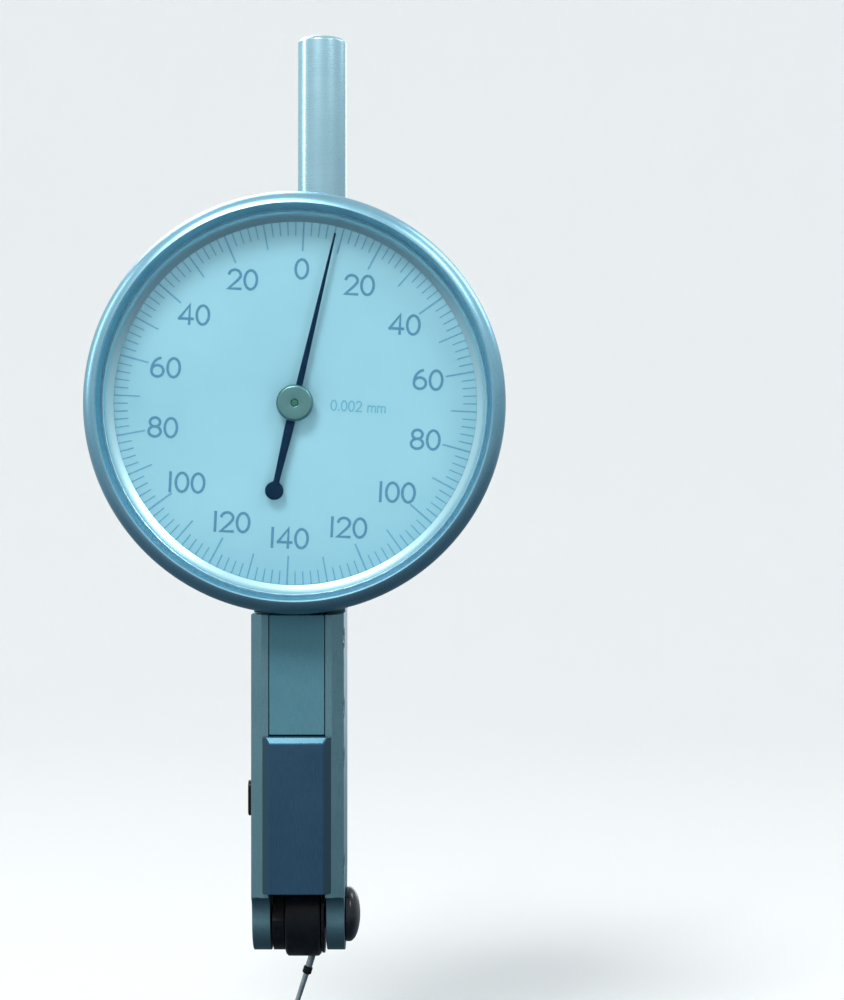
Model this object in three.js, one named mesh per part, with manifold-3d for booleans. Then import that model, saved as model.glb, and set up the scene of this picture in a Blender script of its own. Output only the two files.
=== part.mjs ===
// Dial test indicator with a swivelling contact point, a rotating bezel and a stem clamped behind the body.
// Millimetres. The indicator is laid out round its dial axis: the dial faces -Y, Z points up to the stem.
import * as THREE from "three";
import { mergeVertices } from "three/addons/utils/BufferGeometryUtils.js";
import Module from "manifold-3d";

const wasm = await Module();
wasm.setup();

// Driving dimensions
const bezelRadius = 20;
const bezelHeight = 6.8;
const bodyWidth = 9;
const bodyFront = 5;
const bodyBack = 15.5;
const pivotDrop = 50.2;
const leverSetIn = 4.8;
const cheekThickness = 1.78;
const cheekRadius = 3.5;
const holderRadius = 4.1;
const contactLength = 14.1;
const contactLean = THREE.MathUtils.degToRad(18);
const pointerAngle = THREE.MathUtils.degToRad(13.7);
const stemRadius = 2.5;
const stemReach = 38.3;
const stemOffset = 1.75;
const stemSetBack = 3.5;
const sectorModule = 0.15;
const sectorPinionLeaves = 12;
const crownModule = 0.13;
const crownTeeth = 52;
const centrePinionLeaves = 9;

// Clearances
const seatGap = 0.05;
const fitGap = 0.1;
const runningGap = 0.15;
const holeOverrun = 1;

// Sides of the round pieces, by their size
const wideSides = 64;
const middleSides = 28;
const smallSides = 16;
const fineSides = 10;

// Sizes that follow from the driving dimensions
const halfWidth = bodyWidth / 2;
const leverDepth = bodyBack - leverSetIn;
const stemDepth = bodyBack + stemSetBack;
const channelHalf = halfWidth - cheekThickness;
const pivotHeight = -pivotDrop;
const sectorPinionRadius = (sectorModule * sectorPinionLeaves) / 2;
const sectorRadius = pivotDrop - sectorPinionRadius;
const crownRadius = (crownModule * crownTeeth) / 2;
const centrePinionRadius = (crownModule * centrePinionLeaves) / 2;
const quarterTurn = Math.PI / 2;

// Materials
const finish = (color, roughness, metalness) => new THREE.MeshStandardMaterial({
  color, roughness, metalness,
});
const satinChrome = finish(0x8fb0bd, 0.35, 0.9);
const darkChrome = finish(0x4b6a80, 0.35, 0.9);
const blackOxide = finish(0x12181f, 0.4, 0.6);
const steel = finish(0x9aa3a8, 0.3, 1);
const brass = finish(0xb8964e, 0.35, 1);
const ruby = finish(0xb02a4a, 0.1, 0);
const bronze = finish(0xa8763e, 0.35, 1);
const blueSteel = finish(0x12324f, 0.3, 0.6);
const dialPaint = finish(0xc3dbe4, 0.6, 0);
const hubMetal = finish(0x8ba7a4, 0.35, 0.8);
const clearPlastic = finish(0xdff0f4, 0.05, 0);
clearPlastic.transparent = true;
clearPlastic.opacity = 0.35;
const whitePlastic = finish(0xd8dcda, 0.5, 0);

const mergeDistance = 1e-5;

// Closed surface of a geometry: shared corners merged, flat triangles dropped and the faces turned out
function closedSurface(geometry) {
  const bare = geometry.clone();
  bare.deleteAttribute("normal");
  bare.deleteAttribute("uv");
  const merged = mergeVertices(bare, mergeDistance);
  const corner = merged.attributes.position;
  const kept = [];
  let volume = 0;
  const a = new THREE.Vector3();
  const b = new THREE.Vector3();
  const c = new THREE.Vector3();
  for (let i = 0; i < merged.index.count; i += 3) {
    const [p, q, r] = [0, 1, 2].map((step) => merged.index.getX(i + step));
    if (p === q || q === r || r === p) continue;
    kept.push(p, q, r);
    volume += a.fromBufferAttribute(corner, p).dot(
      b.fromBufferAttribute(corner, q).cross(c.fromBufferAttribute(corner, r)));
  }
  if (volume < 0) kept.reverse();
  const closed = new THREE.BufferGeometry();
  closed.setAttribute("position", corner.clone());
  closed.setIndex(kept);
  return closed;
}

function solidOf(geometry) {
  const closed = closedSurface(geometry);
  return new wasm.Manifold(new wasm.Mesh({
    numProp: 3,
    vertProperties: new Float32Array(closed.attributes.position.array),
    triVerts: new Uint32Array(closed.index.array),
  }));
}

function geometryOf(solid) {
  const mesh = solid.getMesh();
  const geometry = new THREE.BufferGeometry();
  geometry.setAttribute("position", new THREE.BufferAttribute(new Float32Array(mesh.vertProperties), 3));
  geometry.setIndex(Array.from(mesh.triVerts));
  return geometry;
}

// Body with other bodies joined to it, or cut from it
const joined = (first, ...others) =>
  geometryOf(others.reduce((whole, other) => whole.add(solidOf(other)), solidOf(first)));
const cut = (first, ...others) =>
  geometryOf(others.reduce((whole, other) => whole.subtract(solidOf(other)), solidOf(first)));
const common = (first, other) => geometryOf(solidOf(first).intersect(solidOf(other)));

// Block between two corners
function block([x0, x1], [y0, y1], [z0, z1]) {
  const geometry = new THREE.BoxGeometry(x1 - x0, y1 - y0, z1 - z0);
  return geometry.translate((x0 + x1) / 2, (y0 + y1) / 2, (z0 + z1) / 2);
}

// Turned piece: the profile's points are [radius, place along Y]
function turned(profile, sides) {
  return new THREE.LatheGeometry(profile.map(([radius, place]) => new THREE.Vector2(radius, place)), sides);
}

// Plain rod and ring between two places along Y
const rod = (radius, from, to, sides) => turned([[0, from], [radius, from], [radius, to], [0, to]], sides);
const ring = (bore, radius, from, to, sides) =>
  turned([[bore, from], [radius, from], [radius, to], [bore, to], [bore, from]], sides);

// A piece made along Y, laid along X or stood along Z
const laidAlongX = (geometry) => geometry.rotateZ(-quarterTurn);
const stoodAlongZ = (geometry) => geometry.rotateX(quarterTurn);

// Flat shapes drawn in (Y, Z) and given width along X, and drawn in (X, Z) and given depth along Y
function widenedAlongX(shape, from, to, curveSegments = fineSides) {
  const geometry = new THREE.ExtrudeGeometry(shape, { depth: to - from, bevelEnabled: false, curveSegments });
  const axes = new THREE.Matrix4().makeBasis(
    new THREE.Vector3(0, 1, 0), new THREE.Vector3(0, 0, 1), new THREE.Vector3(1, 0, 0));
  return geometry.applyMatrix4(axes).translate(from, 0, 0);
}

function deepenedAlongY(shape, front, back, curveSegments = fineSides) {
  const geometry = new THREE.ExtrudeGeometry(
    shape, { depth: back - front, bevelEnabled: false, curveSegments },
  );
  const axes = new THREE.Matrix4().makeBasis(
    new THREE.Vector3(1, 0, 0), new THREE.Vector3(0, 0, 1), new THREE.Vector3(0, -1, 0));
  return geometry.applyMatrix4(axes).translate(0, back, 0);
}

const polygon = (points) => new THREE.Shape(points.map(([u, v]) => new THREE.Vector2(u, v)));

const instrument = new THREE.Group();
instrument.position.set(-stemOffset, -stemDepth, -stemReach);

function addPiece(name, geometry, material, place = [0, 0, 0], turn = [0, 0, 0]) {
  const mesh = new THREE.Mesh(closedSurface(geometry), material);
  mesh.name = name;
  mesh.position.set(...place);
  mesh.rotation.set(...turn);
  instrument.add(mesh);
  return mesh;
}

// Slotted cheese-head screw along +Y, its head's seat at zero
const screwSlotShare = 0.22;
const screwSlotDepthShare = 0.5;
function slottedScrew(headRadius, headHeight, shankRadius, shankLength) {
  const blank = turned([
    [0, -headHeight], [headRadius, -headHeight], [headRadius, 0], [shankRadius, 0],
    [shankRadius, shankLength],
    [0, shankLength],
  ], fineSides);
  const slotHalf = headRadius * screwSlotShare;
  const slot = block([-slotHalf, slotHalf], [
    -headHeight - holeOverrun, -headHeight * (1 - screwSlotDepthShare),
  ],
    [-headRadius - holeOverrun, headRadius + holeOverrun]);
  return cut(blank, slot);
}

// Gear outline with straight-sided teeth, a tooth or a gap pointing along the first direction
function gearOutline(pitchRadius, teeth, addendum, dedendum, toothShare, gapFirst) {
  const points = [];
  const pitch = (2 * Math.PI) / teeth;
  const tipHalf = (pitch * toothShare * toothTipShare) / 2;
  const rootHalf = (pitch * toothShare * toothRootShare) / 2;
  for (let tooth = 0; tooth < teeth; tooth += 1) {
    const middle = pitch * (tooth + (gapFirst ? gapShare : 0));
    const corners = [
      [pitchRadius - dedendum, middle - rootHalf], [pitchRadius + addendum, middle - tipHalf],
      [pitchRadius + addendum, middle + tipHalf], [pitchRadius - dedendum, middle + rootHalf],
    ];
    corners.forEach(([radius, angle]) => points.push([radius * Math.cos(angle), radius * Math.sin(angle)]));
  }
  return points;
}
const toothTipShare = 0.62;
const toothRootShare = 1.25;
const gapShare = 0.5;
const addendumShare = 0.72;
const dedendumShare = 1.25;
const toothWidthShare = 0.36;

// Bezel: knurled ring with a lip, a ledge for the crystal, a slope round the dial and a bore over the case
const bezelRim = 1.45;
const bezelWall = 1.55;
const lipWidth = 0.95;
const edgeChamfer = 0.5;
const ledgeDepth = 1.75;
const ledgeWidth = 0.35;
const dialSlope = 0.7;
const dialFront = 3;
const dialThickness = 0.5;
const dialSeatDepth = 0.25;
const lipRadius = bezelRadius - bezelRim;
const bezelBore = bezelRadius - bezelWall;
const caseRadius = bezelBore - runningGap;
const dialWindowRadius = lipRadius - dialSlope;
const snapSetBack = 1.8;
const snapFront = dialFront + dialThickness + snapSetBack;
const snapThickness = 0.5;
const snapGrooveDepth = 0.4;
const dialRecess = dialWindowRadius + dialSeatDepth;
const grooveFront = snapFront - fitGap;
const grooveBack = snapFront + snapThickness + fitGap;

addPiece("bezel", turned([
  [lipRadius, 0],
  [lipRadius + lipWidth, 0],
  [bezelRadius, edgeChamfer],
  [bezelRadius, bezelHeight - edgeChamfer],
  [bezelRadius - edgeChamfer, bezelHeight],
  [bezelBore, bezelHeight],
  [bezelBore, grooveBack],
  [bezelBore + snapGrooveDepth, grooveBack],
  [bezelBore + snapGrooveDepth, grooveFront],
  [bezelBore, grooveFront],
  [bezelBore, dialFront + dialThickness],
  [dialRecess, dialFront + dialThickness],
  [dialRecess, dialFront - seatGap],
  [dialWindowRadius, dialFront - seatGap],
  [lipRadius - ledgeWidth, ledgeDepth],
  [lipRadius, ledgeDepth],
  [lipRadius, 0],
], wideSides), satinChrome);

// Crystal: clear disc with a slight dome, over a thin sealing ring on the bezel's ledge
const sealThickness = 0.25;
const crystalThickness = 0.9;
const crystalDome = 0.3;
const sealBack = ledgeDepth - seatGap;
const sealFront = sealBack - sealThickness;
const crystalBack = sealFront - seatGap;
const crystalEdge = lipRadius - fitGap;
const domeRingShares = [0.45, 0.8];
const crystalFront = crystalBack - crystalThickness;
const domeProfile = domeRingShares.map((share) => [
  crystalEdge * share, crystalFront + crystalDome * share * share,
]);

addPiece("crystal", turned([
  [0, crystalFront], ...domeProfile, [crystalEdge, crystalFront + crystalDome],
  [crystalEdge, crystalBack], [0, crystalBack],
], wideSides), clearPlastic);

addPiece("crystal_seal",
  ring(lipRadius - ledgeWidth, lipRadius - fitGap, sealFront, sealBack, wideSides), whitePlastic);

// Dial plate: painted disc held in the bezel's recess, so that it turns with the bezel
const dialHole = 1;
addPiece("dial_plate",
  ring(dialHole, dialRecess - fitGap, dialFront, dialFront + dialThickness, wideSides), dialPaint);

// Dial case: cup behind the dial, with two pillars for the front bridge and a window for the movement
const caseFront = dialFront + dialThickness + runningGap;
const caseWall = 0.9;
const caseFloorThickness = 0.9;
const caseFlangeInset = 0.4;
const caseBore = caseRadius - caseWall;
const bezelBackGap = 0.25;
const caseFloorSetBack = 1.65;
const caseFlangeRadius = bezelRadius - caseFlangeInset;
const caseFlangeFront = bezelHeight + bezelBackGap;
const caseFloorFront = caseFlangeFront + caseFloorSetBack;
const caseBack = caseFloorFront + caseFloorThickness;
const caseChamfer = 0.4;
const windowTop = 5;
const windowRim = 0.3;
const windowBottom = -caseRadius - windowRim;
const pillarPlace = 10.5;
const pillarRadius = 1.5;
const bridgeThickness = 0.6;
const bridgeSetBack = 0.6;
const bridgeFront = dialFront + dialThickness + bridgeSetBack;
const bridgeBack = bridgeFront + bridgeThickness;
const caseScrewShank = 0.4;
const caseScrewPlace = halfWidth - cheekThickness / 2;
const bodyTopInset = 2.6;
const caseScrewInset = 6;
const bodyTop = caseFlangeRadius - bodyTopInset;
const shoulderGap = 0.25;
const shoulderHeight = -bezelRadius - shoulderGap;
const caseScrewHeights = [bodyTop - caseScrewInset, shoulderHeight + caseScrewInset];
const bridgeScrewShank = 0.5;
const bridgeScrewLength = 3;
const rearBridgeThickness = 0.7;
const rearBridgeBack = caseFloorFront - fitGap;
const rearBridgeFront = rearBridgeBack - rearBridgeThickness;
const rearBridgeTip = 1.05;
const rearBridgeReach = 8.6;
const rearScrewPlaces = [4.9, 7.3];
const rearScrewShank = 0.4;

const caseCup = turned([
  [0, caseFloorFront],
  [caseBore, caseFloorFront],
  [caseBore, caseFront],
  [caseRadius, caseFront],
  [caseRadius, grooveFront],
  [caseRadius - snapGrooveDepth, grooveFront],
  [caseRadius - snapGrooveDepth, grooveBack],
  [caseRadius, grooveBack],
  [caseRadius, caseFlangeFront],
  [caseFlangeRadius, caseFlangeFront],
  [caseFlangeRadius, caseBack - caseChamfer],
  [caseFlangeRadius - caseChamfer, caseBack],
  [0, caseBack],
], wideSides);
const pillars = [-pillarPlace, pillarPlace].map((place) =>
  rod(pillarRadius, bridgeBack + seatGap, caseFloorFront + fitGap, smallSides).translate(place, 0, 0));
const pillarHoles = [-pillarPlace, pillarPlace].map((place) =>
  rod(bridgeScrewShank + fitGap, bridgeBack, bridgeBack + bridgeScrewLength + fitGap, fineSides)
    .translate(place, 0, 0));
const caseWindow = block([-channelHalf, channelHalf], [caseFloorFront, caseBack + holeOverrun],
  [windowBottom, windowTop]);
const caseScrewPlaces = [-caseScrewPlace, caseScrewPlace].flatMap((x) => caseScrewHeights.map((z) => [x, z]));
const caseHoles = caseScrewPlaces.map(([x, z]) =>
  rod(
    caseScrewShank + fitGap, caseFloorFront - holeOverrun, caseBack + holeOverrun, fineSides,
  ).translate(x, 0, z));
const rearHoles = rearScrewPlaces.map((x) =>
  rod(
    rearScrewShank + fitGap, caseFloorFront - holeOverrun, caseBack + holeOverrun, fineSides,
  ).translate(x, 0, 0));

addPiece("dial_case",
  cut(joined(caseCup, ...pillars), caseWindow, ...pillarHoles, ...caseHoles, ...rearHoles), satinChrome);

// Snap ring: split spring ring in the groove between the case and the bezel
const snapOpening = THREE.MathUtils.degToRad(12);
const snapInner = caseRadius - snapGrooveDepth + runningGap;
const snapOuter = bezelBore + snapGrooveDepth - runningGap;
const snapShape = new THREE.Shape();
snapShape.absarc(0, 0, snapOuter, snapOpening, 2 * Math.PI - snapOpening, false);
snapShape.absarc(0, 0, snapInner, 2 * Math.PI - snapOpening, snapOpening, true);
addPiece(
  "bezel_spring", deepenedAlongY(snapShape, snapFront, snapFront + snapThickness, wideSides / 2),
  steel,
);

// Body frame: bar with a channel open to the front, two cheeks at the bottom and a dovetail on the back
const bodySeat = caseBack + seatGap;
const frontChamfer = 1.1;
const cheekRise = 2.6;
const cheekStart = pivotHeight + cheekRise;
const cheekSlopeRise = 4.7;
const cheekSlopeStart = pivotHeight + cheekSlopeRise;
const crownToothHalf = 0.32;
const crownRunningRoom = 0.2;
const channelBack = leverDepth + crownRadius + crownToothHalf + crownRunningRoom;
const channelTop = 6;
const holderRoom = 1.1;
const backWallEnd = pivotHeight + holderRadius + holderRoom;
const pivotScrewShank = 1.25;
const jewelRadius = 0.65;
const jewelPocketDepth = 1;
const caseScrewLength = 3.9;
const clampBottom = -9;
const clampTop = 5;
const railTail = 7;
const railTopInset = 0.5;
const railBottom = clampBottom - railTail;
const railTop = clampTop - railTopInset;
const railDepth = 2;
const railNeckHalf = 2.6;
const railFootHalf = 3.3;
const railBack = bodyBack + railDepth;

const sideProfile = new THREE.Shape();
sideProfile.moveTo(bodySeat, bodyTop);
sideProfile.lineTo(bodySeat, shoulderHeight);
sideProfile.lineTo(bodyFront, shoulderHeight);
sideProfile.lineTo(bodyFront, cheekStart);
sideProfile.quadraticCurveTo(leverDepth - cheekRadius, cheekStart, leverDepth - cheekRadius, pivotHeight);
sideProfile.absarc(leverDepth, pivotHeight, cheekRadius, Math.PI, 2 * Math.PI, false);
sideProfile.lineTo(bodyBack, cheekSlopeStart);
sideProfile.lineTo(bodyBack, bodyTop);
sideProfile.closePath();

const bodySection = polygon([
  [-halfWidth, bodyBack], [-halfWidth, bodyFront + frontChamfer], [-halfWidth + frontChamfer, bodyFront],
  [halfWidth - frontChamfer, bodyFront], [halfWidth, bodyFront + frontChamfer], [halfWidth, bodyBack],
]);
const bodyLength = bodyTop - pivotHeight + cheekRadius + 2 * holeOverrun;
const bodyColumn = new THREE.ExtrudeGeometry(bodySection, { depth: bodyLength, bevelEnabled: false })
  .translate(0, 0, pivotHeight - cheekRadius - holeOverrun);
const railSection = (gap) => polygon([
  [-railNeckHalf - gap, bodyBack - fitGap], [railNeckHalf + gap, bodyBack - fitGap],
  [railFootHalf + gap, railBack + gap], [-railFootHalf - gap, railBack + gap],
]);
const rail = new THREE.ExtrudeGeometry(railSection(0), { depth: railTop - railBottom, bevelEnabled: false })
  .translate(0, 0, railBottom);
const bodyBlank = joined(common(widenedAlongX(sideProfile, -halfWidth, halfWidth), bodyColumn), rail);

const channel = block([-channelHalf, channelHalf], [bodyFront - holeOverrun, channelBack],
  [pivotHeight - cheekRadius - holeOverrun, channelTop]);
const forkSlot = block([-channelHalf, channelHalf], [bodyFront - holeOverrun, bodyBack + holeOverrun],
  [pivotHeight - cheekRadius - holeOverrun, backWallEnd]);
const pivotBore = laidAlongX(rod(
  pivotScrewShank + fitGap, -halfWidth - holeOverrun, halfWidth + holeOverrun, smallSides,
)).translate(0, leverDepth, pivotHeight);
const jewelPockets = laidAlongX(rod(jewelRadius + fitGap, -channelHalf - jewelPocketDepth,
  channelHalf + jewelPocketDepth, smallSides)).translate(0, leverDepth, 0);
const caseScrewBores = caseScrewPlaces.map(([x, z]) =>
  rod(
    caseScrewShank + fitGap, bodySeat - holeOverrun, bodySeat + caseScrewLength, fineSides,
  ).translate(x, 0, z));

// Reversing lever: low tab in a round recess of the left wall, on a short spindle with a crank pin inside
const reversingRise = 11.8;
const reversingSetIn = 3.6;
const reversingHeight = pivotHeight + reversingRise;
const reversingDepth = bodyFront + reversingSetIn;
const reversingSpindle = 0.9;
const recessRadius = 2.1;
const recessDepth = 0.5;
const tabThickness = 0.8;
const tabHalfLength = 1.75;
const tabHalfWidth = 0.75;
const reversingRecess = laidAlongX(rod(recessRadius, -halfWidth - holeOverrun, -halfWidth + recessDepth,
  middleSides)).translate(0, reversingDepth, reversingHeight);
const reversingBore = laidAlongX(rod(
  reversingSpindle + fitGap, -halfWidth - holeOverrun, -channelHalf + holeOverrun, smallSides,
)).translate(0, reversingDepth, reversingHeight);

// Cover screws: two for each cover, through the right wall into lugs behind the covers
const coverScrewHead = 0.95;
const coverScrewHeadHeight = 0.6;
const coverScrewShank = 0.5;
const coverScrewSetIn = 2.1;
const coverScrewDepth = bodyFront + coverScrewSetIn;
const upperCoverTop = shoulderHeight - seatGap;
const upperCoverLength = 11.6;
const coverSplit = upperCoverTop - upperCoverLength;
const frontCoverRise = 3.1;
const frontCoverBottom = pivotHeight + frontCoverRise;
const coverScrewInset = 2.4;
const coverScrewHeights = [
  upperCoverTop - coverScrewInset, coverSplit + coverScrewInset,
  coverSplit - coverScrewInset, frontCoverBottom + coverScrewInset,
];
const coverHoles = coverScrewHeights.map((z) => laidAlongX(rod(
  coverScrewShank + fitGap, channelHalf - holeOverrun, halfWidth + holeOverrun, fineSides,
)).translate(0, coverScrewDepth, z));
const coverCounterbores = coverScrewHeights.map((z) => laidAlongX(rod(coverScrewHead + fitGap,
  halfWidth - coverScrewHeadHeight, halfWidth + holeOverrun, smallSides)).translate(0, coverScrewDepth, z));

// Spring screw hole: threaded through the left wall above the reversing lever
const springScrewRise = 11.4;
const springScrewHeight = reversingHeight + springScrewRise;
const springScrewDepth = reversingDepth;
const springScrewShank = 0.45;
const springScrewBite = 1;
const springScrewBore = laidAlongX(rod(springScrewShank + fitGap, -channelHalf - springScrewBite - fitGap,
  -channelHalf + holeOverrun, fineSides)).translate(0, springScrewDepth, springScrewHeight);

addPiece("body_frame", cut(bodyBlank, channel, forkSlot, pivotBore, jewelPockets, ...caseScrewBores,
  reversingRecess, reversingBore, ...coverHoles, ...coverCounterbores, springScrewBore), satinChrome);

// Covers: a flush plate above and a raised block with bevelled edges below, each with two screw lugs
const coverThickness = 1.1;
const blockRise = 1;
const blockHalf = 3.3;
const blockBevel = 0.7;
const lugHalfHeight = 1;
const coverHalf = channelHalf - seatGap;
const lugBack = coverScrewDepth + coverScrewShank + fitGap + lugHalfHeight / 2;
const coverBack = bodyFront + coverThickness;
const coverLug = (z) => block(
  [0, coverHalf], [coverBack - fitGap, lugBack], [z - lugHalfHeight, z + lugHalfHeight],
);
const lugHole = (z) => laidAlongX(rod(
  coverScrewShank + fitGap, -holeOverrun, coverHalf + holeOverrun, fineSides,
)).translate(0, coverScrewDepth, z);
const [firstScrew, secondScrew, thirdScrew, fourthScrew] = coverScrewHeights;

addPiece("upper_cover", cut(joined(
  block([-coverHalf, coverHalf], [bodyFront, coverBack], [coverSplit + seatGap, upperCoverTop]),
  coverLug(firstScrew), coverLug(secondScrew),
), lugHole(firstScrew), lugHole(secondScrew)), satinChrome);

const blockFront = bodyFront - blockRise;
const blockColumn = new THREE.ExtrudeGeometry(polygon([
  [-blockHalf, bodyFront - seatGap], [-blockHalf, blockFront + blockBevel],
  [-blockHalf + blockBevel, blockFront], [blockHalf - blockBevel, blockFront],
  [blockHalf, blockFront + blockBevel], [blockHalf, bodyFront - seatGap],
]), { depth: coverSplit - frontCoverBottom, bevelEnabled: false }).translate(0, 0, frontCoverBottom);
const blockSide = widenedAlongX(polygon([
  [bodyFront, coverSplit - seatGap], [blockFront + blockBevel / 2, coverSplit - seatGap],
  [blockFront, coverSplit - blockBevel], [blockFront, frontCoverBottom], [bodyFront, frontCoverBottom],
]), -halfWidth, halfWidth);
const coverTongue = block([-coverHalf, coverHalf], [bodyFront - fitGap, coverBack],
  [frontCoverBottom, coverSplit - seatGap]);
addPiece("front_cover", cut(joined(
  common(blockColumn, blockSide), coverTongue, coverLug(thirdScrew), coverLug(fourthScrew),
), lugHole(thirdScrew), lugHole(fourthScrew)), darkChrome);

const coverScrewLength = cheekThickness - coverScrewHeadHeight + coverHalf - fitGap;
coverScrewHeights.forEach((z, index) => {
  addPiece(`cover_screw_${index + 1}`,
    slottedScrew(
      coverScrewHead, coverScrewHeadHeight - fitGap, coverScrewShank, coverScrewLength,
    ), blackOxide,
    [halfWidth - coverScrewHeadHeight + seatGap, coverScrewDepth, z], [0, 0, quarterTurn]);
});

// Case screws: four small screws from inside the cup into the walls of the body
const caseScrewHead = 0.75;
const caseScrewHeadHeight = 0.5;
caseScrewPlaces.forEach(([x, z], index) => {
  addPiece(`case_screw_${index + 1}`,
    slottedScrew(
      caseScrewHead, caseScrewHeadHeight, caseScrewShank,
      caseFloorThickness + caseScrewLength - fitGap,
    ),
    steel, [x, caseFloorFront - seatGap, z]);
});

// Front bridge: brass bar over the movement with the front jewel, screwed to the two pillars of the case
const bridgeHalfHeight = 2.2;
const bridgeHalfLength = pillarPlace + pillarRadius;
const jewelFrontRadius = 1;
const arborRadius = 0.3;
const bridgeScrewHead = 1;
const bridgeScrewHeadHeight = 0.4;
const bridgeBar = common(
  block(
    [-bridgeHalfLength, bridgeHalfLength], [bridgeFront, bridgeBack],
    [-bridgeHalfHeight, bridgeHalfHeight],
  ),
  rod(bridgeHalfLength, bridgeFront - holeOverrun, bridgeBack + holeOverrun, middleSides));
const bridgeHoles = [-pillarPlace, pillarPlace].map((x) =>
  rod(
    bridgeScrewShank + fitGap, bridgeFront - holeOverrun, bridgeBack + holeOverrun, fineSides,
  ).translate(x, 0, 0));
const jewelHole = rod(
  jewelFrontRadius + fitGap, bridgeFront - holeOverrun, bridgeBack + holeOverrun, smallSides,
);
addPiece("front_bridge", cut(bridgeBar, jewelHole, ...bridgeHoles), brass);
addPiece(
  "jewel_front", ring(arborRadius + fitGap, jewelFrontRadius, bridgeFront, bridgeBack, smallSides),
  ruby,
);
[-pillarPlace, pillarPlace].forEach((x, index) => {
  addPiece(`bridge_screw_${index + 1}`,
    slottedScrew(
      bridgeScrewHead, bridgeScrewHeadHeight, bridgeScrewShank, bridgeThickness + bridgeScrewLength,
    ),
    steel, [x, bridgeFront - seatGap, 0]);
});

// Rear bridge: brass finger from the right that carries the rear jewel beside the crown wheel
const rearJewelRadius = 0.6;
const rearPivotRadius = 0.17;
const rearPivotGap = 0.08;
const rearScrewHead = 0.75;
const rearScrewHeadHeight = 0.45;
const rearFinger = joined(
  block([0, rearBridgeReach], [rearBridgeFront, rearBridgeBack], [-rearBridgeTip, rearBridgeTip]),
  rod(rearBridgeTip, rearBridgeFront, rearBridgeBack, smallSides));
const rearBridgeHoles = rearScrewPlaces.map((x) =>
  rod(rearScrewShank + fitGap, rearBridgeFront - holeOverrun, rearBridgeBack + holeOverrun, fineSides)
    .translate(x, 0, 0));
const rearJewelHole = rod(
  rearJewelRadius + fitGap, rearBridgeFront - holeOverrun, rearBridgeBack + holeOverrun, smallSides,
);
addPiece("rear_bridge", cut(rearFinger, rearJewelHole, ...rearBridgeHoles), brass);
addPiece("jewel_rear",
  ring(rearPivotRadius + rearPivotGap, rearJewelRadius, rearBridgeFront, rearBridgeBack, smallSides), ruby);
rearScrewPlaces.forEach((x, index) => {
  addPiece(`rear_bridge_screw_${index + 1}`,
    slottedScrew(
      rearScrewHead, rearScrewHeadHeight, rearScrewShank, rearBridgeThickness + caseFloorThickness,
    ),
    steel, [x, rearBridgeFront - seatGap, 0]);
});

// Centre arbor: thin shaft with a nine-leaf pinion that meets the crown wheel's teeth
const hubRoom = 0.22;
const hubTop = crystalBack + hubRoom;
const pinionMargin = 0.12;
const pinionMiddle = leverDepth - crownRadius;
const pinionFront = pinionMiddle - crownToothHalf - pinionMargin;
const pinionBack = pinionMiddle + crownToothHalf + pinionMargin;
const centrePinion = deepenedAlongY(polygon(gearOutline(centrePinionRadius, centrePinionLeaves,
  crownModule * addendumShare, crownModule * dedendumShare, toothWidthShare, true)
  .map(([u, v]) => [-u, v])), pinionFront, pinionBack);
const arborShaft = turned([
  [0, hubTop], [arborRadius, hubTop], [arborRadius, pinionBack], [rearPivotRadius, pinionBack],
  [rearPivotRadius, rearBridgeBack - fitGap], [0, rearBridgeBack - fitGap],
], fineSides);
addPiece("centre_arbor", joined(arborShaft, centrePinion), steel);

// Hairspring: flat spiral strip in one plane, from near its collet to the stud under the front bridge
const colletRadius = 0.95;
const colletSetBack = 0.3;
const colletLength = 0.9;
const colletFront = bridgeBack + colletSetBack;
const colletBack = colletFront + colletLength;
const springFront = colletFront + colletSetBack;
const springHeight = 0.3;
const springInner = 1.3;
const springOuter = 4.9;
const springTurns = 5;
const springStrip = 0.12;
const stepsInTurn = 20;
const studRadius = 0.45;
const spiralPoint = (share, side) => {
  const radius = springInner + (springOuter - springInner) * share + side;
  const angle = 2 * Math.PI * springTurns * share + Math.PI;
  return [radius * Math.cos(angle), radius * Math.sin(angle)];
};
const spiralSteps = Array.from(
  { length: springTurns * stepsInTurn + 1 }, (_, i) => i / (springTurns * stepsInTurn),
);
addPiece("hairspring", deepenedAlongY(polygon([
  ...spiralSteps.map((share) => spiralPoint(share, springStrip / 2)),
  ...spiralSteps.slice().reverse().map((share) => spiralPoint(share, -springStrip / 2)),
]), springFront, springFront + springHeight), bronze);
addPiece("hairspring_collet",
  ring(arborRadius + fitGap, colletRadius, colletFront, colletBack, smallSides), brass);
addPiece("hairspring_stud",
  rod(studRadius, bridgeBack + seatGap, colletBack, fineSides), brass,
  [-springOuter - springStrip / 2 - fitGap - studRadius, 0, 0]);

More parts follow.
